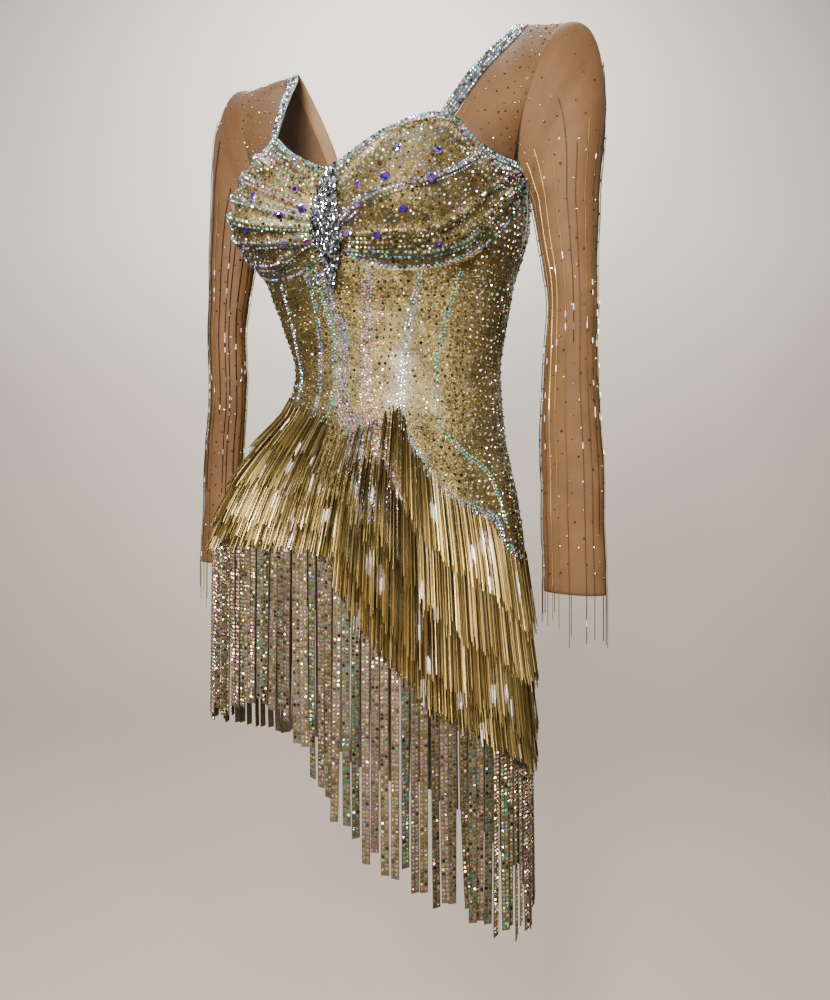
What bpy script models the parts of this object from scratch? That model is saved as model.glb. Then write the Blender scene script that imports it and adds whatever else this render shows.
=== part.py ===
"""A latin dance dress as it is worn: the cut pieces of cloth, the straps, the brooch and the fringe.

Metres, +Z up. The front faces -Y and the wearer's left side is +X. The origin lies midway between the
two shoulders, level with the tops of the armholes. The straps and yokes rise a little above it.

The body of the dress is worked out from level rings. A point on it has an angle, 0 at the centre front,
90 at the wearer's left side and 180 at the centre back, and a height. Each layer is that same surface
moved out, on the same columns and rows, so that the layers never cross.
"""

import math

import bmesh
import bpy
from mathutils import Vector

# Thickness of each kind of wall, and the gaps between pieces.
STRETCH_CLOTH = 0.0014
CUP_CLOTH = 0.0018
NET_CLOTH = 0.0010
STRAP_BAND = 0.0022
BEAD_LAYER = 0.0016
STRIP_LAYER = 0.0016
SEAM_GAP = 0.0005
LAYER_GAP = 0.0005

# The level rings of the figure, top to bottom. The depths run forward and back from the ring's centre.
RING_COLUMNS = ("height", "half_width", "front_depth", "back_depth", "centre_x", "centre_y")
RINGS = (
    (-0.090, 0.147, 0.100, 0.098, 0.000, -0.010),
    (-0.150, 0.158, 0.140, 0.106, 0.000, -0.010),
    (-0.205, 0.157, 0.150, 0.108, 0.000, -0.010),
    (-0.262, 0.1415, 0.122, 0.099, 0.000, -0.010),
    (-0.303, 0.131, 0.104, 0.091, 0.002, -0.008),
    (-0.360, 0.1185, 0.095, 0.085, 0.005, -0.006),
    (-0.400, 0.126, 0.098, 0.092, 0.001, -0.010),
    (-0.440, 0.143, 0.108, 0.108, -0.008, -0.022),
    (-0.480, 0.160, 0.120, 0.125, -0.014, -0.031),
    (-0.520, 0.172, 0.129, 0.134, -0.018, -0.035),
    (-0.560, 0.179, 0.134, 0.138, -0.0195, -0.037),
    (-0.610, 0.183, 0.136, 0.139, -0.0205, -0.037),
    (-0.700, 0.186, 0.137, 0.139, -0.0215, -0.037),
    (-1.000, 0.186, 0.137, 0.139, -0.0215, -0.037),
)

# The cups stand out from the rings: one round rise a side, steeper below than above.
CUP_RISE = 0.042
CUP_CENTRE_X = 0.088
CUP_CENTRE_Z = -0.208
CUP_REACH_SIDE = 0.086
CUP_REACH_UP = 0.112
CUP_REACH_DOWN = 0.066
CUP_OUTER_ANGLE = 88.0
CUP_CENTRE_GAP_ANGLE = 0.25
CUP_ROWS = 10
FOLD_DEPTH = 0.0022
FOLDS_ON_CUP = 5

# Lines on the body: how high each runs at each angle from the centre front, alike on both sides.
NECKLINE = (
    (0, -0.168), (7, -0.159), (14, -0.1475), (20, -0.136), (26, -0.1245), (32, -0.115), (38, -0.1105),
    (43, -0.1105), (47.5, -0.1175), (52.6, -0.132), (58, -0.1435), (64, -0.1485), (72, -0.1505),
    (80, -0.1505), (88, -0.1500),
)
UNDERBUST = (
    (0, -0.244), (8, -0.2525), (19, -0.2615), (27, -0.2638), (35, -0.2630), (43.4, -0.2600), (52, -0.2536),
    (61, -0.2430), (67.4, -0.2310), (74.3, -0.2130), (82, -0.1860), (88, -0.1590), (90, -0.153),
)
BACK_NECKLINE = ((90, -0.153), (105, -0.151), (128, -0.152), (143, -0.156), (162, -0.196), (180, -0.212))

# Lines that run all the way round, from the centre back by the wearer's right to the centre back again.
FRINGE_LINE = (
    (-180, -0.470), (-135, -0.425), (-90, -0.388), (-60, -0.390), (-30, -0.399), (-12, -0.411), (2, -0.430),
    (12, -0.414), (23, -0.399), (34, -0.439), (41, -0.459), (53, -0.488), (68, -0.509), (79, -0.541),
    (90, -0.557), (135, -0.530), (180, -0.470),
)
HEM_LINE = (
    (-180, -0.705), (-135, -0.650), (-90, -0.585), (-60, -0.553), (-30, -0.543), (0, -0.540), (8, -0.546),
    (16, -0.588), (21, -0.613), (31, -0.648), (45, -0.694), (57, -0.715), (71, -0.741), (90, -0.766),
    (135, -0.758), (180, -0.705),
)
STRIP_LENGTHS = (
    (-180, 0.180), (-60, 0.196), (-40, 0.190), (-20, 0.166), (-8, 0.168), (-2, 0.188), (6, 0.222), (15.5, 0.228),
    (23, 0.214), (30, 0.202), (36, 0.190), (48, 0.184), (62, 0.182), (76, 0.176), (90, 0.169), (120, 0.168), (180, 0.180),
)

# The body has the same columns on every layer, and rows that share the fringe line and the hem.
COLUMNS_HALF = 18
SIDE_GAP_ANGLE = 0.12
UPPER_ROWS = 5
SKIRT_ROWS = 8
TIER_COUNT = 4
ROWS_PER_TIER = SKIRT_ROWS // TIER_COUNT
TIER_ROWS = ROWS_PER_TIER + 1
TIER_LIFT = 0.0045
STRIP_ROWS = 2

# Straps and yokes: the lines over the wearer's left shoulder, front to back. Their ends are moved onto
# the edges of the cup and the back at these angles.
STRAP_LINE = (
    (0.1060, -0.0880, -0.1015),
    (0.1200, -0.0500, -0.0516),
    (0.1370, -0.0050, -0.0052),
    (0.1480, 0.0160, 0.0140),
    (0.1420, 0.0480, -0.0180),
    (0.1180, 0.0720, -0.0850),
    (0.0920, 0.0740, -0.1560),
)
ARMHOLE_LINE = (
    (0.1545, -0.0390, -0.1440),
    (0.1660, -0.0510, -0.1000),
    (0.1830, -0.0440, -0.0450),
    (0.1950, -0.0020, -0.0030),
    (0.1880, 0.0350, -0.0500),
    (0.1740, 0.0390, -0.1050),
    (0.1550, 0.0140, -0.1500),
)
STRAP_ANGLE = 43.0
STRAP_HALF_ANGLE = 2.9
ARMHOLE_ANGLE = 78.0
STRAP_WIDTH = 0.016
YOKE_ANGLES = (50.0, 60.0, 70.0)
YOKE_ROWS = 10
YOKE_BULGE = 0.004

# Sleeves: the tube below the shoulder, as level ovals. Each side has its own, because the right hip
# pushes that sleeve outwards. The shoulder row gives the two points that shape the top of the cap.
SLEEVE_COLUMNS = ("height", "centre_x", "centre_y", "half_width", "half_depth")
SLEEVES = {
    "left": (
        (-0.190, 0.2010, -0.018, 0.0340, 0.0300),
        (-0.300, 0.2110, -0.028, 0.0245, 0.0220),
        (-0.393, 0.2085, -0.026, 0.0285, 0.0180),
        (-0.460, 0.2095, -0.023, 0.0310, 0.0165),
        (-0.587, 0.2115, -0.020, 0.0310, 0.0160),
    ),
    "right": (
        (-0.190, 0.2100, -0.018, 0.0310, 0.0290),
        (-0.300, 0.2144, -0.028, 0.0235, 0.0200),
        (-0.385, 0.2164, -0.024, 0.0235, 0.0190),
        (-0.435, 0.2247, -0.020, 0.0246, 0.0180),
        (-0.520, 0.2332, -0.014, 0.0250, 0.0180),
        (-0.587, 0.2385, -0.012, 0.0250, 0.0180),
    ),
}
SHOULDERS = {"left": ((0.242, 0.006), (0.247, -0.085)), "right": ((0.238, 0.018), (0.238, -0.058))}
SLEEVE_AROUND = 14
OVER_SHOULDER = 10
CAP_ROWS = 6
TUBE_ROWS = 5
SLEEVE_FRINGE_FIRST_ROW = 2
SLEEVE_FRINGE_DROP = 0.0735

# The brooch: its half width at each height, on the centre front, with its top a little to the wearer's left.
BROOCH_OUTLINE = (
    (-0.176, 0.004), (-0.186, 0.0085), (-0.199, 0.0130), (-0.213, 0.0160), (-0.2275, 0.0175), (-0.240, 0.0140),
    (-0.252, 0.0100), (-0.264, 0.0055), (-0.276, 0.0030),
)
BROOCH_MIDDLE = (0.0035, -0.2275)
BROOCH_LEAN = 0.165
BROOCH_LIFT = 0.0092
BROOCH_BODY = 0.0055


def smooth_through(table, at):
    """The value at a place in a table of (place, value) rows, on a curve that keeps the rows' slopes."""
    rows = list(table)
    at = min(max(at, rows[0][0]), rows[-1][0])
    k = next(i for i in range(len(rows) - 1) if at <= rows[i + 1][0])
    (x0, y0), (x1, y1) = rows[k], rows[k + 1]

    def slope(i):
        if i in (0, len(rows) - 1):
            return 0.0 if rows[0][0] == -180 else (rows[-1 if i else 1][1] - rows[-2 if i else 0][1]) / (
                rows[-1 if i else 1][0] - rows[-2 if i else 0][0])
        before = (rows[i][1] - rows[i - 1][1]) / (rows[i][0] - rows[i - 1][0])
        after = (rows[i + 1][1] - rows[i][1]) / (rows[i + 1][0] - rows[i][0])
        return 0.0 if before * after <= 0 else 2 * before * after / (before + after)

    span = x1 - x0
    t = (at - x0) / span
    return (
        y0 * (1 + 2 * t) * (1 - t) ** 2
        + slope(k) * span * t * (1 - t) ** 2
        + y1 * t * t * (3 - 2 * t)
        + slope(k + 1) * span * t * t * (t - 1)
    )


def column_of(rows, names, name):
    """(place, value) rows of one named column, lowest place first."""
    column = names.index(name)
    return sorted((row[0], row[column]) for row in rows)


RING = {name: column_of(RINGS, RING_COLUMNS, name) for name in RING_COLUMNS[1:]}


def cup_rise(x, height):
    """How far the cups stand out at a place on the front."""
    reach = CUP_REACH_UP if height > CUP_CENTRE_Z else CUP_REACH_DOWN
    across = (abs(x) - CUP_CENTRE_X) / CUP_REACH_SIDE
    along = (height - CUP_CENTRE_Z) / reach
    far = math.hypot(across, along)
    return CUP_RISE * math.cos(far * math.pi / 2) ** 2 if far < 1 else 0.0


def figure(angle, height):
    """A point of the body of the dress, on its inside."""
    ring = {name: smooth_through(rows, height) for name, rows in RING.items()}
    turn = math.radians(angle)
    depth = ring["front_depth"] if math.cos(turn) > 0 else ring["back_depth"]
    x = ring["centre_x"] + ring["half_width"] * math.sin(turn)
    y = ring["centre_y"] - depth * math.cos(turn)
    if math.cos(turn) > 0:
        rise = cup_rise(x - ring["centre_x"], height)
        x += 0.3 * rise * math.sin(turn)
        y -= rise * math.cos(turn) ** 0.5
    return Vector((x, y, height))


def figure_moved_out(angle, height, away):
    """A point of the body of the dress, moved out along its surface's normal."""
    step_angle, step_height = 1.0, 0.004
    across = figure(angle + step_angle, height) - figure(angle - step_angle, height)
    up = figure(angle, height + step_height) - figure(angle, height - step_height)
    return figure(angle, height) + across.cross(up).normalized() * away


def curve_point(points, t):
    """A point at t, 0 to 1, on a smooth curve through points."""
    place = t * (len(points) - 1)
    k = min(int(place), len(points) - 2)
    u = place - k
    p = [Vector(points[min(max(i, 0), len(points) - 1)]) for i in (k - 1, k, k + 1, k + 2)]
    return 0.5 * (
        2 * p[1]
        + (p[2] - p[0]) * u
        + (2 * p[0] - 5 * p[1] + 4 * p[2] - p[3]) * u ** 2
        + (3 * p[1] - p[0] - 3 * p[2] + p[3]) * u ** 3
    )


def mirrored(points):
    return [Vector((-p[0], p[1], p[2])) for p in points]


def new_material(name, colour, roughness, metallic):
    material = bpy.data.materials.new(name)
    material.use_nodes = True
    shader = material.node_tree.nodes["Principled BSDF"]
    shader.inputs["Base Color"].default_value = (*colour, 1)
    shader.inputs["Roughness"].default_value = roughness
    shader.inputs["Metallic"].default_value = metallic
    return material


def moved_out(rows, away, closed=False):
    """The same rows, moved out along their own surface's normals. Rows run from left to right, top first."""
    result = []
    for j, row in enumerate(rows):
        above, below = rows[max(0, j - 1)], rows[min(len(rows) - 1, j + 1)]
        new = []
        for i, point in enumerate(row):
            if closed:
                right, left = row[(i + 1) % len(row)], row[i - 1]
            else:
                right, left = row[min(len(row) - 1, i + 1)], row[max(0, i - 1)]
            new.append(point + (below[i] - above[i]).cross(right - left).normalized() * away)
        result.append(new)
    return result


def wall(name, inner, outer, material, closed=False):
    """A wall of cloth between two grids of points: top row first, each from left to right from outside.

    A closed wall runs all the way round."""
    shape = bmesh.new()
    faces_of = []
    for rows in (inner, outer):
        faces_of.append([[shape.verts.new(point) for point in row] for row in rows])
    inner, outer = faces_of
    last = len(inner) - 1
    count = len(inner[0])
    columns = [(i, (i + 1) % count) for i in range(count if closed else count - 1)]
    for j in range(last):
        for i, k in columns:
            shape.faces.new((outer[j][i], outer[j + 1][i], outer[j + 1][k], outer[j][k]))
            shape.faces.new((inner[j][i], inner[j][k], inner[j + 1][k], inner[j + 1][i]))
    for i, k in columns:
        shape.faces.new((inner[0][i], outer[0][i], outer[0][k], inner[0][k]))
        shape.faces.new((outer[last][i], inner[last][i], inner[last][k], outer[last][k]))
    if not closed:
        for j in range(last):
            shape.faces.new((inner[j][0], inner[j + 1][0], outer[j + 1][0], outer[j][0]))
            shape.faces.new((outer[j][-1], outer[j + 1][-1], inner[j + 1][-1], inner[j][-1]))
    mesh = bpy.data.meshes.new(name)
    shape.to_mesh(mesh)
    shape.free()
    piece = bpy.data.objects.new(name, mesh)
    bpy.context.scene.collection.objects.link(piece)
    piece.data.materials.append(material)
    return piece


def spread(first, last, count):
    """count + 1 numbers from first to last."""
    return [first + (last - first) * i / count for i in range(count + 1)]


def skirt_height(angle, row):
    """The height at a row of the skirt: 0 at the fringe line, SKIRT_ROWS at the hem, and on below it."""
    top, hem = smooth_through(FRINGE_LINE, angle), smooth_through(HEM_LINE, angle)
    return top + (hem - top) * row / SKIRT_ROWS


def body_top(angle):
    """The top edge of the front or back of the body at an angle."""
    side = abs(angle)
    if side > 90:
        return smooth_through(BACK_NECKLINE, side)
    return smooth_through(UNDERBUST, side) - SEAM_GAP


def body_layer(places, away):
    """Rows of points from rows of (angle, height) places, all as far out from the figure."""
    return [[figure_moved_out(angle, height, away) for angle, height in row] for row in places]


def body_panel(name, angles, material):
    """The front or the back of the body, from its top edge down to the asymmetric hem."""
    places = []
    for step in range(UPPER_ROWS + SKIRT_ROWS + 1):
        row = []
        for angle in angles:
            top = body_top(angle)
            height = skirt_height(angle, max(0, step - UPPER_ROWS))
            if step < UPPER_ROWS:
                height = top + (height - top) * step / UPPER_ROWS
            row.append((angle, height))
        places.append(row)
    return wall(name, body_layer(places, 0), body_layer(places, STRETCH_CLOTH), material)


def front_angles():
    return spread(-90 + SIDE_GAP_ANGLE, 90 - SIDE_GAP_ANGLE, COLUMNS_HALF)


def cup(name, side, material):
    """A draped cup: side is 1 for the wearer's left. Its folds swing from the brooch to the side."""
    angles = [abs(a) for a in front_angles() if 1 < a < CUP_OUTER_ANGLE]
    angles = [CUP_CENTRE_GAP_ANGLE] + angles + [CUP_OUTER_ANGLE]
    if side < 0:
        angles = [-angle for angle in reversed(angles)]
    inner, outer = [], []
    for step in range(CUP_ROWS + 1):
        share = step / CUP_ROWS
        face = ([], [])
        for angle in angles:
            top = smooth_through(NECKLINE, abs(angle))
            low = smooth_through(UNDERBUST, abs(angle)) + SEAM_GAP
            fold = math.sin(share * FOLDS_ON_CUP * math.pi) ** 2 * FOLD_DEPTH
            fold *= math.sin(math.pi * min(1, abs(angle) / CUP_OUTER_ANGLE))
            height = top + (low - top) * share
            face[0].append(figure_moved_out(angle, height, fold))
            face[1].append(figure_moved_out(angle, height, fold + CUP_CLOTH))
        inner.append(face[0])
        outer.append(face[1])
    return wall(name, inner, outer, material)


def ends_moved(curve, start, end):
    """The curve with its ends moved to two points, and the change dying away within its first third."""
    first, last = start - curve(0), end - curve(1)

    def moved(t):
        return curve(t) + first * max(0, 1 - 3 * t) ** 2 + last * max(0, 3 * t - 2) ** 2

    return moved


def cup_edge(angle):
    """A point just above the top edge of the left cup."""
    return figure(angle, smooth_through(NECKLINE, angle) + 3 * SEAM_GAP)


def back_edge(angle):
    """A point just above the top edge of the back, at an angle from the centre back."""
    return figure(180 - angle, smooth_through(BACK_NECKLINE, 180 - angle) + 3 * SEAM_GAP)


def strap_edge(across, angle):
    """The line of the left strap, or of what lies beside it: across is 0 on the strap's neck edge and 1
    on its shoulder edge. Its ends stand on the cup and the back at an angle."""

    def line(t):
        here = curve_point(STRAP_LINE, t)
        along = curve_point(STRAP_LINE, min(1, t + 0.02)) - curve_point(STRAP_LINE, max(0, t - 0.02))
        outwards = Vector((0.35 * here.x, here.y - 0.01, here.z + 0.13))
        sideways = outwards.cross(along).normalized()
        if sideways.x < 0:
            sideways.negate()
        return here + sideways * (across - 0.5) * STRAP_WIDTH

    return ends_moved(line, cup_edge(angle), back_edge(angle))


def strap(name, side, material):
    edges = [
        strap_edge(across, STRAP_ANGLE + (2 * across - 1) * STRAP_HALF_ANGLE) for across in (0, 0.5, 1)
    ]
    rows = [[edge(t) for edge in edges] for t in spread(0, 1, 2 * YOKE_ROWS)]
    return cloth_beside_shoulder(name, rows, side, STRAP_BAND, material)


def cloth_beside_shoulder(name, rows, side, thickness, material):
    """A strap or a yoke from rows that start at the front, each from the neck to the shoulder."""
    rows = rows[::-1]
    if side < 0:
        rows = [mirrored(row)[::-1] for row in rows]
    return wall(name, rows, moved_out(rows, thickness), material)


def yoke_patch():
    """The left yoke's rows between the strap, the armhole and the body's top edges, and its armhole."""
    neck_angle = STRAP_ANGLE + STRAP_HALF_ANGLE + 0.4
    strap_side = strap_edge(1 + 2 * SEAM_GAP / STRAP_WIDTH, neck_angle)
    armhole = ends_moved(
        lambda t: curve_point(ARMHOLE_LINE, t), cup_edge(ARMHOLE_ANGLE), back_edge(ARMHOLE_ANGLE)
    )
    rows = []
    for t in spread(0, 1, YOKE_ROWS):
        row = []
        for angle in (neck_angle, *YOKE_ANGLES, ARMHOLE_ANGLE):
            v = (angle - neck_angle) / (ARMHOLE_ANGLE - neck_angle)
            across = strap_side(t) * (1 - v) + armhole(t) * v
            along = cup_edge(angle) * (1 - t) + back_edge(angle) * t
            corners = (strap_side(0) * (1 - v) + armhole(0) * v) * (1 - t)
            corners += (strap_side(1) * (1 - v) + armhole(1) * v) * t
            bulge = YOKE_BULGE * math.sin(math.pi * v) * math.sin(math.pi * t)
            lift = Vector((0.3, -math.cos(math.pi * t), math.sin(math.pi * t))) * bulge
            row.append(across + along - corners + lift)
        rows.append(row)
    return rows, armhole


def yoke(name, side, material):
    return cloth_beside_shoulder(name, yoke_patch()[0], side, NET_CLOTH, material)


def sleeve_oval(side, height):
    """The outer face of a sleeve's tube as a ring of points, from the front round by the outside."""
    rows = {name: column_of(SLEEVES[side], SLEEVE_COLUMNS, name) for name in SLEEVE_COLUMNS[1:]}
    oval = {name: smooth_through(table, height) for name, table in rows.items()}
    ring = []
    for i in range(SLEEVE_AROUND):
        turn = 2 * math.pi * i / SLEEVE_AROUND
        ring.append(Vector((
            oval["centre_x"] + oval["half_width"] * math.sin(turn),
            oval["centre_y"] - oval["half_depth"] * math.cos(turn),
            height,
        )))
    return ring


def underarm(angle):
    """A point of the sleeve's seam under the arm, where the sleeve hangs outside the body's top edge."""
    edge = NECKLINE if angle < 90 else BACK_NECKLINE
    height = smooth_through(edge, min(angle, CUP_OUTER_ANGLE) if angle < 90 else angle)
    return figure_moved_out(angle, height + 3 * SEAM_GAP, CUP_CLOTH + NET_CLOTH + 2 * SEAM_GAP)


def armhole_loop():
    """The sleeve's seam: over the shoulder from the front armpit to the back one, then underarm."""
    armhole = yoke_patch()[1]
    over = ends_moved(
        lambda t: armhole(t) + Vector((2 * SEAM_GAP, 0, 0)), underarm(ARMHOLE_ANGLE), underarm(180 - ARMHOLE_ANGLE)
    )
    under = spread(180 - ARMHOLE_ANGLE, ARMHOLE_ANGLE, SLEEVE_AROUND - OVER_SHOULDER)[1:-1]
    return [over(t) for t in spread(0, 1, OVER_SHOULDER)] + [underarm(angle) for angle in under]


def sleeve_rows(side):
    """The sleeve for the left arm with this side's tube: the cap from the armhole, then the tube."""
    loop = armhole_loop()
    top = SLEEVES[side][0][0]
    hem = SLEEVES[side][-1][0]
    turned = OVER_SHOULDER // 2 - SLEEVE_AROUND // 4

    def turned_oval(height):
        ring = sleeve_oval(side, height)
        return ring[-turned:] + ring[:-turned]

    tube_top = turned_oval(top)
    crown = OVER_SHOULDER // 2
    (first_x, first_z), (second_x, second_z) = SHOULDERS[side]
    rows = []
    for t in spread(0, 1, CAP_ROWS)[:-1]:
        row = []
        for i, (start, end) in enumerate(zip(loop, tube_top)):
            share = math.sin(math.pi * i / OVER_SHOULDER) ** 2 if i < OVER_SHOULDER else 0
            step = (end - start) / 3
            out = start + step.lerp(Vector((first_x - loop[crown].x, 0, first_z - loop[crown].z)), share)
            rise = Vector((second_x - tube_top[crown].x, 0, second_z - tube_top[crown].z))
            above = end + (-step).lerp(rise, share)
            row.append(
                start * (1 - t) ** 3 + 3 * out * t * (1 - t) ** 2 + 3 * above * t * t * (1 - t) + end * t ** 3
            )
        rows.append(row)
    rows += [turned_oval(height) for height in spread(top, hem, TUBE_ROWS)]
    return rows


def side_rows(rows, side):
    """Rows as they stand on that side, turned so that their faces point outwards."""
    if side == "right":
        return [mirrored(row)[::-1] for row in rows]
    return rows


def sleeve(name, side, material):
    outer = side_rows(sleeve_rows(side), side)
    return wall(name, moved_out(outer, -NET_CLOTH, closed=True), outer, material, closed=True)


def sleeve_fringe(name, side, material):
    """The reach of the loose strands on a sleeve: over it, then straight down past the cuff."""
    rows = side_rows(sleeve_rows(side), side)
    layers = []
    for away in (LAYER_GAP, LAYER_GAP + BEAD_LAYER):
        layer = moved_out(rows, away, closed=True)[SLEEVE_FRINGE_FIRST_ROW:]
        layer.append([point - Vector((0, 0, SLEEVE_FRINGE_DROP)) for point in layer[-1]])
        layers.append(layer)
    return wall(name, *layers, material, closed=True)


def round_places(rows):
    """Rows of (angle, height) places all the way round the skirt."""
    angles = spread(-180, 180, 2 * COLUMNS_HALF)[:-1]
    return [[(angle, skirt_height(angle, row)) for angle in angles] for row in rows]


def bead_tier(number, material):
    """A tier of bead fringe. It is sewn along its top row and leans out over the next tier, or ends at the hem."""
    first = number * ROWS_PER_TIER
    places = round_places(range(first, min(first + TIER_ROWS, SKIRT_ROWS) + 1))
    layers = []
    for thickness in (0, BEAD_LAYER):
        lifts = [STRETCH_CLOTH + LAYER_GAP + TIER_LIFT * step / TIER_ROWS for step in range(TIER_ROWS + 1)]
        layers.append([body_layer([row], lift + thickness)[0] for row, lift in zip(places, lifts)])
    return wall(f"bead_fringe_tier_{number + 1}", *layers, material, closed=True)


def strip_fringe(material):
    """The reach of the rhinestone strips, from just above the hem straight down."""
    places = round_places((SKIRT_ROWS - 0.2, SKIRT_ROWS, SKIRT_ROWS + 1))
    layers = []
    for away in (STRETCH_CLOTH + LAYER_GAP, STRETCH_CLOTH + LAYER_GAP + STRIP_LAYER):
        layer = body_layer(places, away)
        hem, last = layer[1], layer[-1]
        for step in range(1, STRIP_ROWS + 1):
            row = []
            for (angle, _), top, point in zip(places[0], hem, last):
                end = top.z - smooth_through(STRIP_LENGTHS, angle)
                row.append(point + Vector((0, 0, (end - point.z) * step / STRIP_ROWS)))
            layer.append(row)
        layers.append(layer)
    return wall("strip_fringe", *layers, material, closed=True)


def brooch(material):
    """The crystal cluster on the centre front, moved out clear of the cups' folds."""
    layers = []
    for away in (BROOCH_LIFT, BROOCH_LIFT + BROOCH_BODY):
        rows = []
        for height, half_width in BROOCH_OUTLINE:
            aside = BROOCH_MIDDLE[0] + BROOCH_LEAN * (height - BROOCH_MIDDLE[1])
            centre = figure_moved_out(0, height, away) + Vector((aside, 0, 0))
            rows.append([
                centre + Vector((across * half_width, -0.0012 * (1 - across ** 2), 0))
                for across in (-1, -0.5, 0, 0.5, 1)
            ])
        layers.append(rows)
    return wall("brooch", *layers, material)


def build():
    for old in list(bpy.data.objects):
        bpy.data.objects.remove(old)
    gold = new_material("gold stretch satin", (0.47, 0.37, 0.17), 0.38, 0.65)
    net = new_material("nude power net", (0.50, 0.31, 0.19), 0.60, 0.0)
    stones = new_material("rhinestone band", (0.62, 0.63, 0.66), 0.15, 0.6)
    crystal = new_material("brooch crystal", (0.70, 0.71, 0.76), 0.10, 0.7)
    beads = new_material("gold bugle beads", (0.52, 0.42, 0.20), 0.25, 0.85)
    strips = new_material("rhinestone strips", (0.42, 0.36, 0.27), 0.25, 0.6)

    back = spread(90 + SIDE_GAP_ANGLE, 270 - SIDE_GAP_ANGLE, COLUMNS_HALF)
    body_panel("body_front", front_angles(), gold)
    body_panel("body_back", [angle if angle <= 180 else angle - 360 for angle in back], gold)
    for side, sign in (("left", 1), ("right", -1)):
        cup(f"cup_{side}", sign, gold)
        strap(f"strap_{side}", sign, stones)
        yoke(f"yoke_{side}", sign, net)
        sleeve(f"sleeve_{side}", side, net)
        sleeve_fringe(f"sleeve_fringe_{side}", side, beads)
    for number in range(TIER_COUNT):
        bead_tier(number, beads)
    strip_fringe(strips)
    brooch(crystal)


build()
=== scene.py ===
"""The looks of a latin dance dress as it is worn and still, laid on the frame of its solids.

Metres, +Z up, the front faces -Y and the wearer's left side is +X. The origin lies midway between the two
shoulders. A place on the dress is an angle round the figure, 0 at the centre front and 90 at the
wearer's left side, and a height.
"""

import math

import bmesh
import bpy
import numpy as np
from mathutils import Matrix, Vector


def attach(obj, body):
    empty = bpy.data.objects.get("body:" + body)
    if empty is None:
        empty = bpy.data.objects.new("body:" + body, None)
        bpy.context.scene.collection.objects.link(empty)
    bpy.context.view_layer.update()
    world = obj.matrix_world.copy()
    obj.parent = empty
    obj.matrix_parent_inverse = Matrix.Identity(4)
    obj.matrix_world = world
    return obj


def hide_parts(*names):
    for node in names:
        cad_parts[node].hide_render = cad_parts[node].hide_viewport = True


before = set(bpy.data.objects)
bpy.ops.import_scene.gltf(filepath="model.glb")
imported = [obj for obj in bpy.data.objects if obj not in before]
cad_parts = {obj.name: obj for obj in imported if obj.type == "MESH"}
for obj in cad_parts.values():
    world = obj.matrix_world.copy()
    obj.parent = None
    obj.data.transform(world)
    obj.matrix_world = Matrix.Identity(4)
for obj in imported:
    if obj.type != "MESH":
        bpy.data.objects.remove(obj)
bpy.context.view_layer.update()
draw = np.random.default_rng(41)

# ---------------------------------------------------------------- the frame's walls and lines, as its solids have them
STRETCH_CLOTH, CUP_CLOTH, NET_CLOTH, STRAP_BAND = 0.0014, 0.0018, 0.0010, 0.0022
SEAM_GAP, LAYER_GAP = 0.0005, 0.0005
RING_COLUMNS = ("height", "half_width", "front_depth", "back_depth", "centre_x", "centre_y")
RINGS = (
    (-0.090, 0.147, 0.100, 0.098, 0.000, -0.010),
    (-0.150, 0.158, 0.140, 0.106, 0.000, -0.010),
    (-0.205, 0.157, 0.150, 0.108, 0.000, -0.010),
    (-0.262, 0.1415, 0.122, 0.099, 0.000, -0.010),
    (-0.303, 0.131, 0.104, 0.091, 0.002, -0.008),
    (-0.360, 0.1185, 0.095, 0.085, 0.005, -0.006),
    (-0.400, 0.126, 0.098, 0.092, 0.001, -0.010),
    (-0.440, 0.143, 0.108, 0.108, -0.008, -0.022),
    (-0.480, 0.160, 0.120, 0.125, -0.014, -0.031),
    (-0.520, 0.172, 0.129, 0.134, -0.018, -0.035),
    (-0.560, 0.179, 0.134, 0.138, -0.0195, -0.037),
    (-0.610, 0.183, 0.136, 0.139, -0.0205, -0.037),
    (-0.700, 0.186, 0.137, 0.139, -0.0215, -0.037),
    (-1.000, 0.186, 0.137, 0.139, -0.0215, -0.037),
)
CUP_RISE, CUP_CENTRE_X, CUP_CENTRE_Z = 0.042, 0.088, -0.208
CUP_REACH_SIDE, CUP_REACH_UP, CUP_REACH_DOWN = 0.086, 0.112, 0.066
CUP_OUTER_ANGLE, CUP_CENTRE_GAP_ANGLE, SIDE_GAP_ANGLE = 88.0, 0.25, 0.12
NECKLINE = (
    (0, -0.168), (7, -0.159), (14, -0.1475), (20, -0.136), (26, -0.1245), (32, -0.115), (38, -0.1105),
    (43, -0.1105), (47.5, -0.1175), (52.6, -0.132), (58, -0.1435), (64, -0.1485), (72, -0.1505),
    (80, -0.1505), (88, -0.1500),
)
UNDERBUST = (
    (0, -0.244), (8, -0.2525), (19, -0.2615), (27, -0.2638), (35, -0.2630), (43.4, -0.2600), (52, -0.2536),
    (61, -0.2430), (67.4, -0.2310), (74.3, -0.2130), (82, -0.1860), (88, -0.1590), (90, -0.153),
)
BACK_NECKLINE = ((90, -0.153), (105, -0.151), (128, -0.152), (143, -0.156), (162, -0.196), (180, -0.212))
FRINGE_LINE = (
    (-180, -0.470), (-135, -0.425), (-90, -0.388), (-60, -0.390), (-30, -0.399), (-12, -0.411), (2, -0.430),
    (12, -0.414), (23, -0.399), (34, -0.439), (41, -0.459), (53, -0.488), (68, -0.509), (79, -0.541),
    (90, -0.557), (135, -0.530), (180, -0.470),
)
HEM_LINE = (
    (-180, -0.705), (-135, -0.650), (-90, -0.585), (-60, -0.553), (-30, -0.543), (0, -0.540), (8, -0.546),
    (16, -0.588), (21, -0.613), (31, -0.648), (45, -0.694), (57, -0.715), (71, -0.741), (90, -0.766),
    (135, -0.758), (180, -0.705),
)
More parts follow.
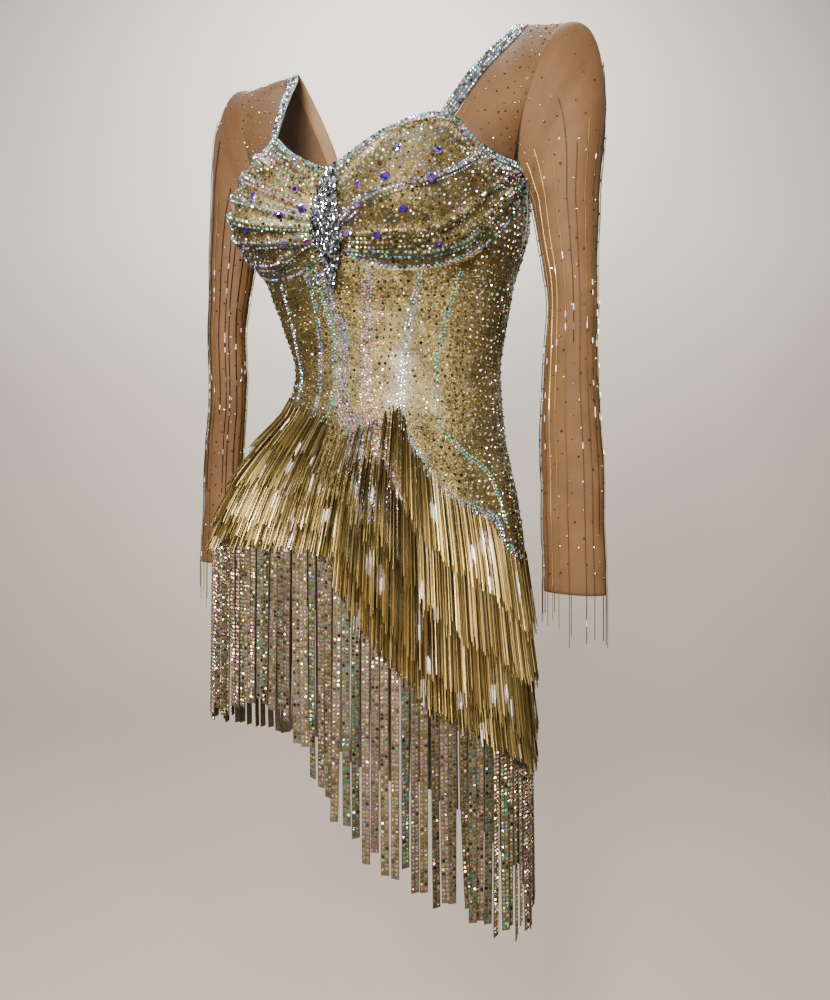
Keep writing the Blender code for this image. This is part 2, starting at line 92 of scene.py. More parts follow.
STRIP_LENGTHS = (
    (-180, 0.180), (-60, 0.196), (-40, 0.190), (-20, 0.166), (-8, 0.168), (-2, 0.188), (6, 0.222), (15.5, 0.228),
    (23, 0.214), (30, 0.202), (36, 0.190), (48, 0.184), (62, 0.182), (76, 0.176), (90, 0.169), (120, 0.168),
    (180, 0.180),
)
SKIRT_ROWS, TIER_COUNT, ROWS_PER_TIER, TIER_ROWS, TIER_LIFT = 8, 4, 2, 3, 0.0045
TIER_FLARE = 0.0032
STRAP_LINE = (
    (0.1060, -0.0880, -0.1015), (0.1200, -0.0500, -0.0516), (0.1370, -0.0050, -0.0052), (0.1480, 0.0160, 0.0140),
    (0.1420, 0.0480, -0.0180), (0.1180, 0.0720, -0.0850), (0.0920, 0.0740, -0.1560),
)
ARMHOLE_LINE = (
    (0.1545, -0.0390, -0.1440), (0.1660, -0.0510, -0.1000), (0.1830, -0.0440, -0.0450), (0.1950, -0.0020, -0.0030),
    (0.1880, 0.0350, -0.0500), (0.1740, 0.0390, -0.1050), (0.1550, 0.0140, -0.1500),
)
STRAP_ANGLE, STRAP_HALF_ANGLE, ARMHOLE_ANGLE, STRAP_WIDTH, YOKE_BULGE = 43.0, 2.9, 78.0, 0.016, 0.004
SLEEVE_COLUMNS = ("height", "centre_x", "centre_y", "half_width", "half_depth")
SLEEVES = {
    "left": (
        (-0.190, 0.2010, -0.018, 0.0340, 0.0300),
        (-0.300, 0.2110, -0.028, 0.0245, 0.0220),
        (-0.393, 0.2085, -0.026, 0.0285, 0.0180),
        (-0.460, 0.2095, -0.023, 0.0310, 0.0165),
        (-0.587, 0.2115, -0.020, 0.0310, 0.0160),
    ),
    "right": (
        (-0.190, 0.2100, -0.018, 0.0310, 0.0290),
        (-0.300, 0.2144, -0.028, 0.0235, 0.0200),
        (-0.385, 0.2164, -0.024, 0.0235, 0.0190),
        (-0.435, 0.2247, -0.020, 0.0246, 0.0180),
        (-0.520, 0.2332, -0.014, 0.0250, 0.0180),
        (-0.587, 0.2385, -0.012, 0.0250, 0.0180),
    ),
}
SHOULDERS = {"left": ((0.242, 0.006), (0.247, -0.085)), "right": ((0.238, 0.018), (0.238, -0.058))}
SLEEVE_TURN = 1 / 7
BROOCH_OUTLINE = (
    (-0.276, 0.0030), (-0.264, 0.0055), (-0.252, 0.0100), (-0.240, 0.0140), (-0.2275, 0.0175), (-0.213, 0.0160),
    (-0.199, 0.0130), (-0.186, 0.0085), (-0.176, 0.0040),
)
BROOCH_MIDDLE, BROOCH_LEAN, BROOCH_LIFT = (0.0035, -0.2275), 0.165, 0.0092


# ---------------------------------------------------------------- the figure
def smooth_through(table, at):
    """Values at places in a table of (place, value) rows, on a curve that keeps the rows' slopes."""
    places, values = np.array(sorted(table), float).T
    gaps = np.diff(places)
    steps = np.diff(values) / gaps
    slopes = np.zeros(len(places))
    before, after = steps[:-1], steps[1:]
    same_way = before * after > 0
    slopes[1:-1] = np.where(same_way, 2 * before * after / np.where(same_way, before + after, 1), 0)
    if places[0] != -180:
        slopes[0], slopes[-1] = steps[0], steps[-1]
    at = np.clip(at, places[0], places[-1])
    k = np.clip(np.searchsorted(places, at) - 1, 0, len(gaps) - 1)
    t = (at - places[k]) / gaps[k]
    return (
        values[k] * (1 + 2 * t) * (1 - t) ** 2
        + slopes[k] * gaps[k] * t * (1 - t) ** 2
        + values[k + 1] * t * t * (3 - 2 * t)
        + slopes[k + 1] * gaps[k] * t * t * (t - 1)
    )


def columns_of(rows, names):
    """Each named column of a table as (place, value) rows."""
    return {name: [(row[0], row[i]) for row in rows] for i, name in enumerate(names) if i}


def unit(vectors):
    return vectors / np.maximum(np.linalg.norm(vectors, axis=-1, keepdims=True), 1e-12)


RING = columns_of(RINGS, RING_COLUMNS)


def figure(angle, height):
    """Points of the body of the dress, on its inside."""
    angle, height = np.broadcast_arrays(np.asarray(angle, float), np.asarray(height, float))
    ring = {name: smooth_through(rows, height) for name, rows in RING.items()}
    sine, cosine = np.sin(np.radians(angle)), np.cos(np.radians(angle))
    across = ring["half_width"] * sine
    reach = np.where(height > CUP_CENTRE_Z, CUP_REACH_UP, CUP_REACH_DOWN)
    far = np.hypot((np.abs(across) - CUP_CENTRE_X) / CUP_REACH_SIDE, (height - CUP_CENTRE_Z) / reach)
    rise = np.where((far < 1) & (cosine > 0), CUP_RISE * np.cos(np.minimum(far, 1) * math.pi / 2) ** 2, 0)
    depth = np.where(cosine > 0, ring["front_depth"], ring["back_depth"])
    x = ring["centre_x"] + across + 0.3 * rise * sine
    y = ring["centre_y"] - depth * cosine - rise * np.sqrt(np.maximum(cosine, 0))
    return np.stack([x, y, height], axis=-1)


def figure_out(angle, height):
    """The directions straight out of the figure."""
    across = figure(angle + 1.0, height) - figure(angle - 1.0, height)
    up = figure(angle, height + 0.004) - figure(angle, height - 0.004)
    return unit(np.cross(across, up))


def figure_moved_out(angle, height, away):
    away = np.asarray(away, float)
    return figure(angle, height) + figure_out(angle, height) * away[..., None]


def skirt_height(angle, row):
    """The height at a row of the skirt: 0 at the fringe line, SKIRT_ROWS at the hem, and on below it."""
    top, hem = smooth_through(FRINGE_LINE, angle), smooth_through(HEM_LINE, angle)
    return top + (hem - top) * row / SKIRT_ROWS


def wrapped(angle):
    """The same angle between -180 and 180."""
    return (np.asarray(angle, float) + 180) % 360 - 180


def body_top(angle):
    side = np.abs(angle)
    return np.where(side > 90, smooth_through(BACK_NECKLINE, side), smooth_through(UNDERBUST, side) - SEAM_GAP)


# The swags of each cup: how high each ridge of gathered cloth runs at each angle from the centre front.
SWAGS = {
    1: (
        ((6, -0.222), (17, -0.2135), (27.7, -0.206), (38, -0.198), (44, -0.189), (50, -0.176), (55, -0.162),
         (59, -0.149)),
        ((6, -0.232), (23, -0.235), (37, -0.2352), (44, -0.231), (49, -0.224), (56, -0.209), (62.4, -0.1905),
         (72, -0.170), (85, -0.1555)),
        ((6, -0.239), (25.7, -0.2425), (40, -0.242), (46, -0.240), (54, -0.231), (62, -0.214), (70, -0.193),
         (79, -0.172), (86, -0.160)),
        ((6, -0.246), (26, -0.2500), (36, -0.2510), (44, -0.248), (53.6, -0.240), (59.3, -0.229), (65.4, -0.2135),
         (75, -0.186), (83, -0.168)),
        ((56, -0.160), (64, -0.168), (74, -0.163), (85, -0.153)),
        ((8, -0.185), (16, -0.166), (24, -0.147), (31, -0.133), (38, -0.126), (44, -0.128), (50, -0.142)),
    ),
    -1: (
        ((4, -0.1915), (7, -0.180), (10.3, -0.169), (14.3, -0.157), (22, -0.137), (30, -0.124)),
        ((5, -0.200), (14, -0.180), (26, -0.155), (38, -0.137), (46, -0.130)),
        ((5, -0.208), (18, -0.192), (34, -0.168), (50, -0.147), (60, -0.150)),
        ((5, -0.216), (20, -0.206), (40, -0.185), (60, -0.166), (84, -0.155)),
        ((5, -0.223), (20, -0.220), (40, -0.206), (60, -0.182), (80, -0.161)),
        ((5, -0.229), (20, -0.234), (40, -0.228), (56, -0.206), (67, -0.184), (80, -0.168)),
        ((5, -0.234), (10, -0.2365), (18.5, -0.244), (29.4, -0.2506), (42, -0.246), (56, -0.230), (68, -0.205)),
    ),
}
RIDGE_HEIGHT, RIDGE_WIDTH = 0.0042, 0.0040


def cup_share(angle, height):
    """How far down its cup a place lies: 0 at the neckline, 1 at the underbust seam."""
    top, low = smooth_through(NECKLINE, np.abs(angle)), smooth_through(UNDERBUST, np.abs(angle))
    return (top - height) / (top - low)


def cup_height(angle, share):
    top = smooth_through(NECKLINE, np.abs(angle))
    return top + (smooth_through(UNDERBUST, np.abs(angle)) + SEAM_GAP - top) * share


def cup_fold(angle, height):
    """How far the gathered cloth of a cup stands out in its swags."""
    side = np.abs(angle)
    fold = np.zeros(np.broadcast(angle, height).shape)
    for sign, swags in SWAGS.items():
        for swag in swags:
            off = (height - smooth_through(swag, side)) / RIDGE_WIDTH
            ends = np.clip((side - swag[0][0] + 4) / 8, 0, 1) * np.clip((swag[-1][0] + 4 - side) / 10, 0, 1)
            fold += np.where(np.sign(angle) == sign, RIDGE_HEIGHT * ends * np.exp(-off * off), 0)
    return np.minimum(fold, 1.4 * RIDGE_HEIGHT) * np.clip((CUP_OUTER_ANGLE - side) / 6, 0, 1) * np.clip(side / 3, 0, 1)


# Creases of the body: (from, to, height, half width), the ends as (angle, height).
BODY_CREASES = (
    ((23.5, -0.270), (30.5, -0.297), 0.0022, 0.0030),
    ((31.0, -0.262), (38.5, -0.284), 0.0020, 0.0032),
    ((27.5, -0.266), (34.0, -0.290), -0.0018, 0.0030),
    ((62.0, -0.246), (50.0, -0.262), 0.0016, 0.0040),
    ((84.0, -0.340), (60.0, -0.356), 0.0012, 0.0050),
    ((88.0, -0.358), (64.0, -0.372), -0.0010, 0.0045),
    ((88.0, -0.374), (66.0, -0.386), 0.0011, 0.0045),
    ((-66.0, -0.352), (-44.0, -0.362), 0.0012, 0.0045),
    ((-70.0, -0.372), (-40.0, -0.376), 0.0010, 0.0040),
    ((150.0, -0.352), (205.0, -0.358), 0.0014, 0.0055),
    ((158.0, -0.376), (200.0, -0.372), 0.0011, 0.0050),
)
METRES_PER_DEGREE = 0.0021


def line_rise(across, down, creases):
    """The height of soft ridges along lines, at places in metres."""
    rise = np.zeros(np.broadcast(across, down).shape)
    for (x0, y0), (x1, y1), height, width in creases:
        dx, dy = x1 - x0, y1 - y0
        length = math.hypot(dx, dy)
        along = ((across - x0) * dx + (down - y0) * dy) / length
        off = ((across - x0) * dy - (down - y0) * dx) / length
        taper = np.clip(along / length, 0, 1)
        rise += height * np.exp(-((off / width) ** 2)) * (4 * taper * (1 - taper)) ** 0.7
    return rise


def body_fold(angle, height):
    creases = [
        ((a[0] * METRES_PER_DEGREE, a[1]), (b[0] * METRES_PER_DEGREE, b[1]), tall / 2, wide)
        for a, b, tall, wide in BODY_CREASES
    ]
    rise = 0
    for turned in (angle, np.where(np.asarray(angle) < 0, np.asarray(angle) + 360, angle)):
        rise = rise + line_rise(turned * METRES_PER_DEGREE, height, creases)
    # The stretched cloth is never quite even: broad, very low waves.
    return rise + 0.0004 * np.sin(angle * 0.11 + height * 60) * np.sin(height * 95 + angle * 0.05)


def dress_face(angle, height, away=0.0):
    """Points on the outer face of the cups and the body, with their folds."""
    angle, height = np.asarray(angle, float), np.asarray(height, float)
    share = cup_share(angle, height)
    on_cup = (np.abs(angle) < CUP_OUTER_ANGLE) & (share < 1)
    lift = np.where(on_cup, CUP_CLOTH + cup_fold(angle, height), STRETCH_CLOTH + body_fold(angle, height))
    return figure_moved_out(angle, height, lift + away)


def dress_out(angle, height):
    """The directions straight out of the folded cloth."""
    across = dress_face(angle + 0.3, height) - dress_face(angle - 0.3, height)
    up = dress_face(angle, height + 0.0008) - dress_face(angle, height - 0.0008)
    return unit(np.cross(across, up))


# ---------------------------------------------------------------- patches: cloth that lies on a grid of points
def curve_points(points, t):
    """Points at t, 0 to 1, on a smooth curve through points."""
    points = np.array(points, float)
    place = np.clip(t, 0, 1) * (len(points) - 1)
    k = np.minimum(place.astype(int), len(points) - 2)
    u = (place - k)[:, None]
    p = [points[np.clip(k + i, 0, len(points) - 1)] for i in (-1, 0, 1, 2)]
    return 0.5 * (
        2 * p[1]
        + (p[2] - p[0]) * u
        + (2 * p[0] - 5 * p[1] + 4 * p[2] - p[3]) * u ** 2
        + (3 * p[1] - p[0] - 3 * p[2] + p[3]) * u ** 3
    )


def ends_moved(curve, t, start, end):
    """The curve with its ends moved to two points, and the change dying away within its first third."""
    ends = curve(np.array([0.0, 1.0]))
    first, last = start - ends[0], end - ends[1]
    return curve(t) + first * (np.maximum(0, 1 - 3 * t) ** 2)[:, None] + last * (np.maximum(0, 3 * t - 2) ** 2)[:, None]


def cup_edge(angle):
    return figure(angle, smooth_through(NECKLINE, angle) + 3 * SEAM_GAP)


def back_edge(angle):
    return figure(180 - angle, smooth_through(BACK_NECKLINE, 180 - angle) + 3 * SEAM_GAP)


def strap_edge(across, angle, t):
    def line(at):
        here = curve_points(STRAP_LINE, at)
        along = curve_points(STRAP_LINE, at + 0.02) - curve_points(STRAP_LINE, at - 0.02)
        outwards = np.stack([0.35 * here[:, 0], here[:, 1] - 0.01, here[:, 2] + 0.13], axis=-1)
        sideways = unit(np.cross(outwards, along))
        sideways = np.where(sideways[:, :1] < 0, -sideways, sideways)
        return here + sideways * (across - 0.5) * STRAP_WIDTH

    return ends_moved(line, t, cup_edge(angle), back_edge(angle))


def armhole(t, start, end, shift):
    return ends_moved(lambda at: curve_points(ARMHOLE_LINE, at) + [shift, 0, 0], t, start, end)


STRAP_ROWS, STRAP_COLUMNS, YOKE_ROWS, YOKE_COLUMNS, SEAM_ALLOWANCE = 71, 7, 57, 31, 0.0022


def strap_grid():
    """The left strap's band, from the back to the front, each row from the neck to the shoulder."""
    t = np.linspace(1, 0, STRAP_ROWS)
    across = np.linspace(0, 1, STRAP_COLUMNS)
    return np.stack([strap_edge(v, STRAP_ANGLE + (2 * v - 1) * STRAP_HALF_ANGLE, t) for v in across], axis=1)


def yoke_grid():
    """The left yoke between the strap, the armhole and the body's top edges, back first."""
    neck_angle = STRAP_ANGLE + STRAP_HALF_ANGLE + 0.4
    t = np.linspace(0, 1, YOKE_ROWS)
    strap_side = strap_edge(1 - SEAM_ALLOWANCE / STRAP_WIDTH, neck_angle - 0.8, t)
    arm_side = armhole(t, cup_edge(ARMHOLE_ANGLE), back_edge(ARMHOLE_ANGLE), SEAM_ALLOWANCE)
    columns = []
    for v in np.linspace(0, 1, YOKE_COLUMNS):
        angle = neck_angle + (ARMHOLE_ANGLE - neck_angle) * v
        along = cup_edge(angle) * (1 - t)[:, None] + back_edge(angle) * t[:, None]
        corners = (strap_side[0] * (1 - v) + arm_side[0] * v) * (1 - t)[:, None]
        corners = corners + (strap_side[-1] * (1 - v) + arm_side[-1] * v) * t[:, None]
        bulge = (YOKE_BULGE * math.sin(math.pi * v) * np.sin(math.pi * t))[:, None]
        lift = np.stack([np.full_like(t, 0.3), -np.cos(math.pi * t), np.sin(math.pi * t)], axis=-1) * bulge
        columns.append(strap_side * (1 - v) + arm_side * v + along - corners + lift)
    grid = np.stack(columns, axis=1)[::-1]
    tucked = 0.0006 * np.maximum(0, 1 - np.linspace(0, 1, YOKE_COLUMNS) / 0.12)
    return grid - grid_out(grid) * tucked[None, :, None]


def underarm(angle):
    """The sleeve's seam under the arm, where the sleeve hangs outside the body's top edge."""
    height = np.where(
        angle < 90,
        smooth_through(NECKLINE, np.minimum(angle, CUP_OUTER_ANGLE)),
        smooth_through(BACK_NECKLINE, np.maximum(angle, 90)),
    )
    return figure_moved_out(angle, height + 3 * SEAM_GAP, CUP_CLOTH + NET_CLOTH + 2 * SEAM_GAP)


SLEEVE_AROUND, OVER_SHOULDER, CAP_ROWS, TUBE_ROWS = 84, 60, 36, 96


def sleeve_grid(side):
    """The outer face of the sleeve for the left arm with this side's tube: rows of points, the top first."""
    over = armhole(
        np.linspace(0, 1, OVER_SHOULDER + 1),
        underarm(np.array(ARMHOLE_ANGLE)),
        underarm(np.array(180 - ARMHOLE_ANGLE)),
        2 * SEAM_GAP,
    )
    under = underarm(np.linspace(180 - ARMHOLE_ANGLE, ARMHOLE_ANGLE, SLEEVE_AROUND - OVER_SHOULDER + 1)[1:-1])
    loop = np.concatenate([over, under])
    count = np.arange(SLEEVE_AROUND)
    turn = 2 * math.pi * (count / SLEEVE_AROUND - SLEEVE_TURN)
    tables = columns_of(SLEEVES[side], SLEEVE_COLUMNS)

    def oval(height):
        at = {name: smooth_through(table, height) for name, table in tables.items()}
        return np.stack([
            at["centre_x"] + at["half_width"] * np.sin(turn),
            at["centre_y"] - at["half_depth"] * np.cos(turn),
            np.full(SLEEVE_AROUND, height),
        ], axis=-1)

    top, hem = SLEEVES[side][0][0], SLEEVES[side][-1][0]
    tube_top = oval(top)
    crown = OVER_SHOULDER // 2
    (first_x, first_z), (second_x, second_z) = SHOULDERS[side]
    share = np.where(count < OVER_SHOULDER, np.sin(math.pi * count / OVER_SHOULDER) ** 2, 0)[:, None]
    step = (tube_top - loop) / 3
    outwards = np.array([first_x - loop[crown, 0], 0, first_z - loop[crown, 2]])
    rise = np.array([second_x - tube_top[crown, 0], 0, second_z - tube_top[crown, 2]])
    out = loop + step * (1 - share) + outwards * share
    above = tube_top - step * (1 - share) + rise * share
    rows = [
        loop * (1 - t) ** 3 + 3 * out * t * (1 - t) ** 2 + 3 * above * t * t * (1 - t) + tube_top * t ** 3
        for t in np.linspace(0, 1, CAP_ROWS + 1)[:-1]
    ]
    rows += [oval(height) for height in np.linspace(top, hem, TUBE_ROWS + 1)]
    return np.stack(rows)


def mirrored(grid):
    return (grid * [-1, 1, 1])[:, ::-1]


def grid_out(grid, closed=False):
    """The directions straight out of a grid whose rows run from left to right from outside, top first."""
    if closed:
        wide = np.roll(grid, -1, axis=1) - np.roll(grid, 1, axis=1)
    else:
        wide = np.gradient(grid, axis=1)
    return unit(np.cross(np.gradient(grid, axis=0), wide))


def at_grid(grid, across, down, closed=False):
    """Values between the points of a grid, at places across and down it from 0 to 1."""
    rows, columns = grid.shape[:2]
    x = np.asarray(across) * (columns if closed else columns - 1)
    y = np.clip(down, 0, 1) * (rows - 1)
    j = np.minimum(np.floor(y).astype(int), rows - 2)
    i = np.floor(x).astype(int) if closed else np.clip(np.floor(x).astype(int), 0, columns - 2)
    u, v = (x - i)[..., None], (y - j)[..., None]
    i0, i1 = (i % columns, (i + 1) % columns) if closed else (i, i + 1)
    upper = grid[j, i0] * (1 - u) + grid[j, i1] * u
    lower = grid[j + 1, i0] * (1 - u) + grid[j + 1, i1] * u
    return upper * (1 - v) + lower * v


def length_along(points):
    """How far along a line of points each one lies."""
    return np.concatenate([[0], np.cumsum(np.linalg.norm(np.diff(points, axis=0), axis=1))])


def grid_lengths(grid, closed=False):
    """A grid's middle width and length in metres."""
    row, column = grid[len(grid) // 2], grid[:, grid.shape[1] // 2]
    if closed:
        row = np.concatenate([row, row[:1]])
    return tuple(np.linalg.norm(np.diff(line, axis=0), axis=1).sum() for line in (row, column))


def lay_cloth(name, grid, materials, thickness, closed=False):
    """A wall of cloth whose outer face is a grid of points. Its second material is on the inside."""
    rows, columns = grid.shape[:2]
    if closed:
        grid = np.concatenate([grid, grid[:, :1]], axis=1)
        columns += 1
    width, length = grid_lengths(grid)
    shape = bmesh.new()
    bmesh.ops.create_grid(shape, x_segments=columns - 1, y_segments=rows - 1, size=1)
    patch = shape.loops.layers.uv.new("cloth")
    for face in shape.faces:
        for loop in face.loops:
            x, y, _ = loop.vert.co
            loop[patch].uv = ((x + 1) / 2 * width, (y + 1) / 2 * length)
    for vert in shape.verts:
        i, j = round((vert.co.x + 1) / 2 * (columns - 1)), round((1 - vert.co.y) / 2 * (rows - 1))
        vert.co = grid[j, i]
    if closed:
        bmesh.ops.remove_doubles(shape, verts=shape.verts, dist=1e-6)
    for face in shape.faces:
        face.smooth = True
    piece = new_piece(name, shape, *materials)
    wall = piece.modifiers.new("wall", "SOLIDIFY")
    wall.thickness, wall.offset = thickness, -1
    wall.material_offset = len(materials) - 1
    return piece


def link(name, data):
    made = bpy.data.objects.new(name, data)
    bpy.context.scene.collection.objects.link(made)
    return made


def new_mesh(name, shape):
    mesh = bpy.data.meshes.new(name)
    shape.to_mesh(mesh)
    shape.free()
    return mesh


def new_piece(name, shape, *materials):
    mesh = new_mesh(name, shape)
    for material in materials:
        mesh.materials.append(material)
    return link(name, mesh)


# ---------------------------------------------------------------- many small things: copies of one small shape
def read(items, field, kind, width=1):
    """A field of every item of a mesh as one array."""
    values = np.empty(len(items) * width, kind)
    items.foreach_get(field, values)
    return values


def copies(name, shape, at, axes, material, tint):
    """One piece of many flat-faced copies of a small shape. Each copy's axes are the rows of a 3 by 3 table,
    and its tint is a colour."""
    small = new_mesh(name, shape)
    points = read(small.vertices, "co", float, 3).reshape(-1, 3)
    corners = read(small.loops, "vertex_index", np.int32)
    starts = read(small.polygons, "loop_start", np.int32)
    bpy.data.meshes.remove(small)

    count = len(at)
    number = np.arange(count, dtype=np.int32)[:, None]
    placed = at[:, None, :] + np.einsum("vk,nkj->nvj", points, axes)
    mesh = bpy.data.meshes.new(name)
    for items, field, values, each in (
        (mesh.vertices, "co", placed, len(points)),
        (mesh.loops, "vertex_index", corners + number * len(points), len(corners)),
        (mesh.polygons, "loop_start", starts + number * len(corners), len(starts)),
    ):
        items.add(count * each)
        items.foreach_set(field, values.ravel())
    mesh.polygons.foreach_set("use_smooth", np.zeros(len(mesh.polygons), bool))
    mesh.update(calc_edges=True)
    colours = np.ones((count, len(points), 4))
    colours[:, :, :3] = tint[:, None, :]
    layer = mesh.color_attributes.new(name="tint", type="FLOAT_COLOR", domain="POINT")
    layer.data.foreach_set("color", colours.ravel())
    mesh.materials.append(material)
    return link(name, mesh)


def cone(sides, low, high, depth, lift):
    """A closed cone along z: the radii of its two ends, its length, and how high its middle lies."""
    shape = bmesh.new()
    bmesh.ops.create_cone(shape, cap_ends=True, segments=sides, radius1=low, radius2=high, depth=depth)
    bmesh.ops.translate(shape, verts=shape.verts, vec=(0, 0, lift))
    return shape


def flatback(sides):
    """A rhinestone one across: a flat back, a crown of facets and a table."""
    return cone(sides, 0.5, 0.275, 0.36, 0.12)


def bugle():
    """A tube bead of length one along z, one across."""
    return cone(4, 0.5, 0.5, 1, 0.5)


def cut_crystal(sides):
    """A large stone one across: a low girdle, a crown in two steps of facets and a table."""
    shape = cone(sides, 0.46, 0.5, 0.10, 0)
    top = max(shape.faces, key=lambda face: face.calc_center_median().z)
    sine, cosine = math.sin(math.pi / sides), math.cos(math.pi / sides)
    for scale, rise in ((0.80, 0.12), (0.66, 0.13)):
        made = bmesh.ops.extrude_face_region(shape, geom=[top])["geom"]
        verts = [item for item in made if isinstance(item, bmesh.types.BMVert)]
        bmesh.ops.delete(shape, geom=[top], context="FACES")
        top = next(item for item in made if isinstance(item, bmesh.types.BMFace))
        bmesh.ops.scale(shape, verts=verts, vec=(scale, scale, 1))
        bmesh.ops.translate(shape, verts=verts, vec=(0, 0, rise))
        for vert in verts:
            x, y = vert.co.x, vert.co.y
            vert.co.x, vert.co.y = x * cosine - y * sine, x * sine + y * cosine
    return shape


def square_to(out, size, tilt):
    """Axes of stones that face out, of these diameters, each turned at random and tilted a little."""
    out = unit(out + draw.normal(0, 1, out.shape) * tilt)
    across = unit(np.cross(out, unit(draw.normal(0, 1, out.shape))))
    along = np.cross(out, across)
    return np.stack([across, along, out], axis=1) * np.broadcast_to(size, (len(out),))[:, None, None]


def dye(*screen):
    """A colour from its red, green and blue on a screen, 0 to 255."""
    level = np.array(screen) / 255
    return np.where(level <= 0.04045, level / 12.92, ((level + 0.055) / 1.055) ** 2.4)


# The near-white tint is a painted highlight, given to stones and beads that should catch a lamp.
TINTS = {name: dye(*screen) for name, screen in {
    "silver": (226, 228, 236), "lilac": (192, 178, 236), "pink": (244, 190, 216), "green": (168, 226, 200),
    "blue": (152, 180, 238), "champagne": (244, 226, 184), "peach": (250, 206, 178), "smoke": (84, 72, 52),
    "topaz": (150, 116, 66), "violet": (128, 92, 214), "gold": (132, 111, 60), "pale_gold": (182, 160, 104),
    "bronze": (88, 72, 38), "steel": (212, 212, 214), "umber": (56, 44, 24), "teal": (96, 206, 190),
    "painted_glint": (255, 246, 238), "slate": (104, 112, 122),
}.items()}


def mixed(count, recipe, spread=0.12, painted_shade_share=0.0):
    """Random tints from a recipe of (tint, parts), each a little lighter or darker, and a share of them darkened
    with painted shade, as foiled stones that face away from a lamp look."""
    names, parts = zip(*recipe)
    picked = draw.choice(len(names), size=count, p=np.array(parts, float) / sum(parts))
    colours = np.array([TINTS[name] for name in names])[picked]
    colours = colours * (1 + draw.normal(0, spread, (count, 1)))
    # painted shade: a share of the stones darkened
    dark = draw.uniform(size=(count, 1)) < painted_shade_share
    return np.clip(colours * np.where(dark, draw.uniform(0.07, 0.30, (count, 1)), 1), 0, 1)


def clear_of(points, others, gap, batch=500):
    """Which points are at least a gap away from all of the others."""
    if not len(others):
        return np.ones(len(points), bool)
    near = np.empty(len(points), bool)
    for start in range(0, len(points), batch):
        some = points[start:start + batch]
        square = (some ** 2).sum(1)[:, None] + (others ** 2).sum(1)[None] - 2 * some @ others.T
        near[start:start + batch] = square.min(axis=1) < gap * gap
    return ~near


def well_apart(points, gap):
    """Which points to keep so that no two are closer than a gap, the first of each pair kept."""
    kept = []
    keep = np.zeros(len(points), bool)
    for k, point in enumerate(points):
        if not kept or ((np.array(kept) - point) ** 2).sum(1).min() >= gap * gap:
            keep[k] = True
            kept.append(point)
    return keep


# ---------------------------------------------------------------- materials
def connect(tree, node, sockets):
    """Sets inputs of a node to values, or links them to outputs."""
    for socket, value in sockets.items():
        if isinstance(value, bpy.types.NodeSocket):
            tree.links.new(value, node.inputs[socket])
        else:
            node.inputs[socket].default_value = value


def add_node(tree, kind, sockets=None, **settings):
    node = tree.nodes.new("ShaderNode" + kind)
    for setting, value in settings.items():
        setattr(node, setting, value)
    connect(tree, node, sockets or {})
    return node


def new_material(name, colour, roughness, metallic, coat=0.0):
    material = bpy.data.materials.new(name)
    material.use_nodes = True
    tree = material.node_tree
    shader = tree.nodes["Principled BSDF"]
    connect(tree, shader, {
        "Base Color": (*colour, 1), "Roughness": roughness, "Metallic": metallic, "Coat Weight": coat,
    })
    return material, tree, shader


def knit_group():
    """Knitted cloth: loops in columns as a height for the bump, a patchy shade, and a fine glitter."""
    tree = bpy.data.node_groups.new("knit", "ShaderNodeTree")
    for name, way, kind in (
        ("Place", "INPUT", "Vector"), ("Loops per metre", "INPUT", "Float"), ("Patches per metre", "INPUT", "Float"),
        ("Height", "OUTPUT", "Float"), ("Shade", "OUTPUT", "Float"), ("Glitter", "OUTPUT", "Float"),
    ):
        tree.interface.new_socket(name=name, in_out=way, socket_type="NodeSocket" + kind)
    given, out = tree.nodes.new("NodeGroupInput").outputs, tree.nodes.new("NodeGroupOutput")
    place = given["Place"]
    scaled = add_node(tree, "VectorMath", {0: place, "Scale": given["Loops per metre"]}, operation="SCALE")
    parts = add_node(tree, "SeparateXYZ", {0: scaled.outputs[0]}).outputs
    waves = [add_node(tree, "Math", {0: parts[axis]}, operation="SINE").outputs[0] for axis in (0, 1)]
    patches = {"Vector": place, "Scale": given["Patches per metre"], "Detail": 4.0, "Roughness": 0.6}
    connect(tree, out, {
        "Height": add_node(tree, "Math", {0: waves[0], 1: waves[1]}, operation="MULTIPLY").outputs[0],
        "Shade": add_node(tree, "TexNoise", patches).outputs["Fac"],
        "Glitter": add_node(tree, "TexNoise", {"Vector": place, "Scale": 620.0, "Detail": 1.0}).outputs["Fac"],
    })
    return tree


KNIT = knit_group()


def on_cloth(tree):
    """Places in metres on the flat cloth."""
    return add_node(tree, "UVMap", uv_map="cloth").outputs["UV"]


def add_ramp(tree, source, *stops):
    """A colour by a value. Each stop is a value and the red, green and blue of its colour on a screen."""
    ramp = add_node(tree, "ValToRGB", {"Fac": source})
    while len(ramp.color_ramp.elements) < len(stops):
        ramp.color_ramp.elements.new(0.5)
    for element, (at, *screen) in zip(ramp.color_ramp.elements, stops):
        element.position = at
        element.color = (*dye(*screen), 1)
    return ramp.outputs["Color"]


def add_range(tree, source, from_low, from_high, low, high):
    return add_node(tree, "MapRange", {
        "Value": source, "From Min": from_low, "From Max": from_high, "To Min": low, "To Max": high,
    }).outputs["Result"]


def add_flakes(tree, bump, per_metre, tilt):
    """Foil flakes in the cloth: each little cell of it faces its own way."""
    cells = add_node(tree, "TexVoronoi", {"Vector": on_cloth(tree), "Scale": per_metre})
    level = {"Factor": tilt, "A": (0.5, 0.5, 1, 1), "B": cells.outputs["Color"]}
    faced = add_node(tree, "Mix", level, data_type="RGBA").outputs["Result"]
    connect(tree, bump, {"Normal": add_node(tree, "NormalMap", {"Color": faced}, uv_map="cloth").outputs["Normal"]})


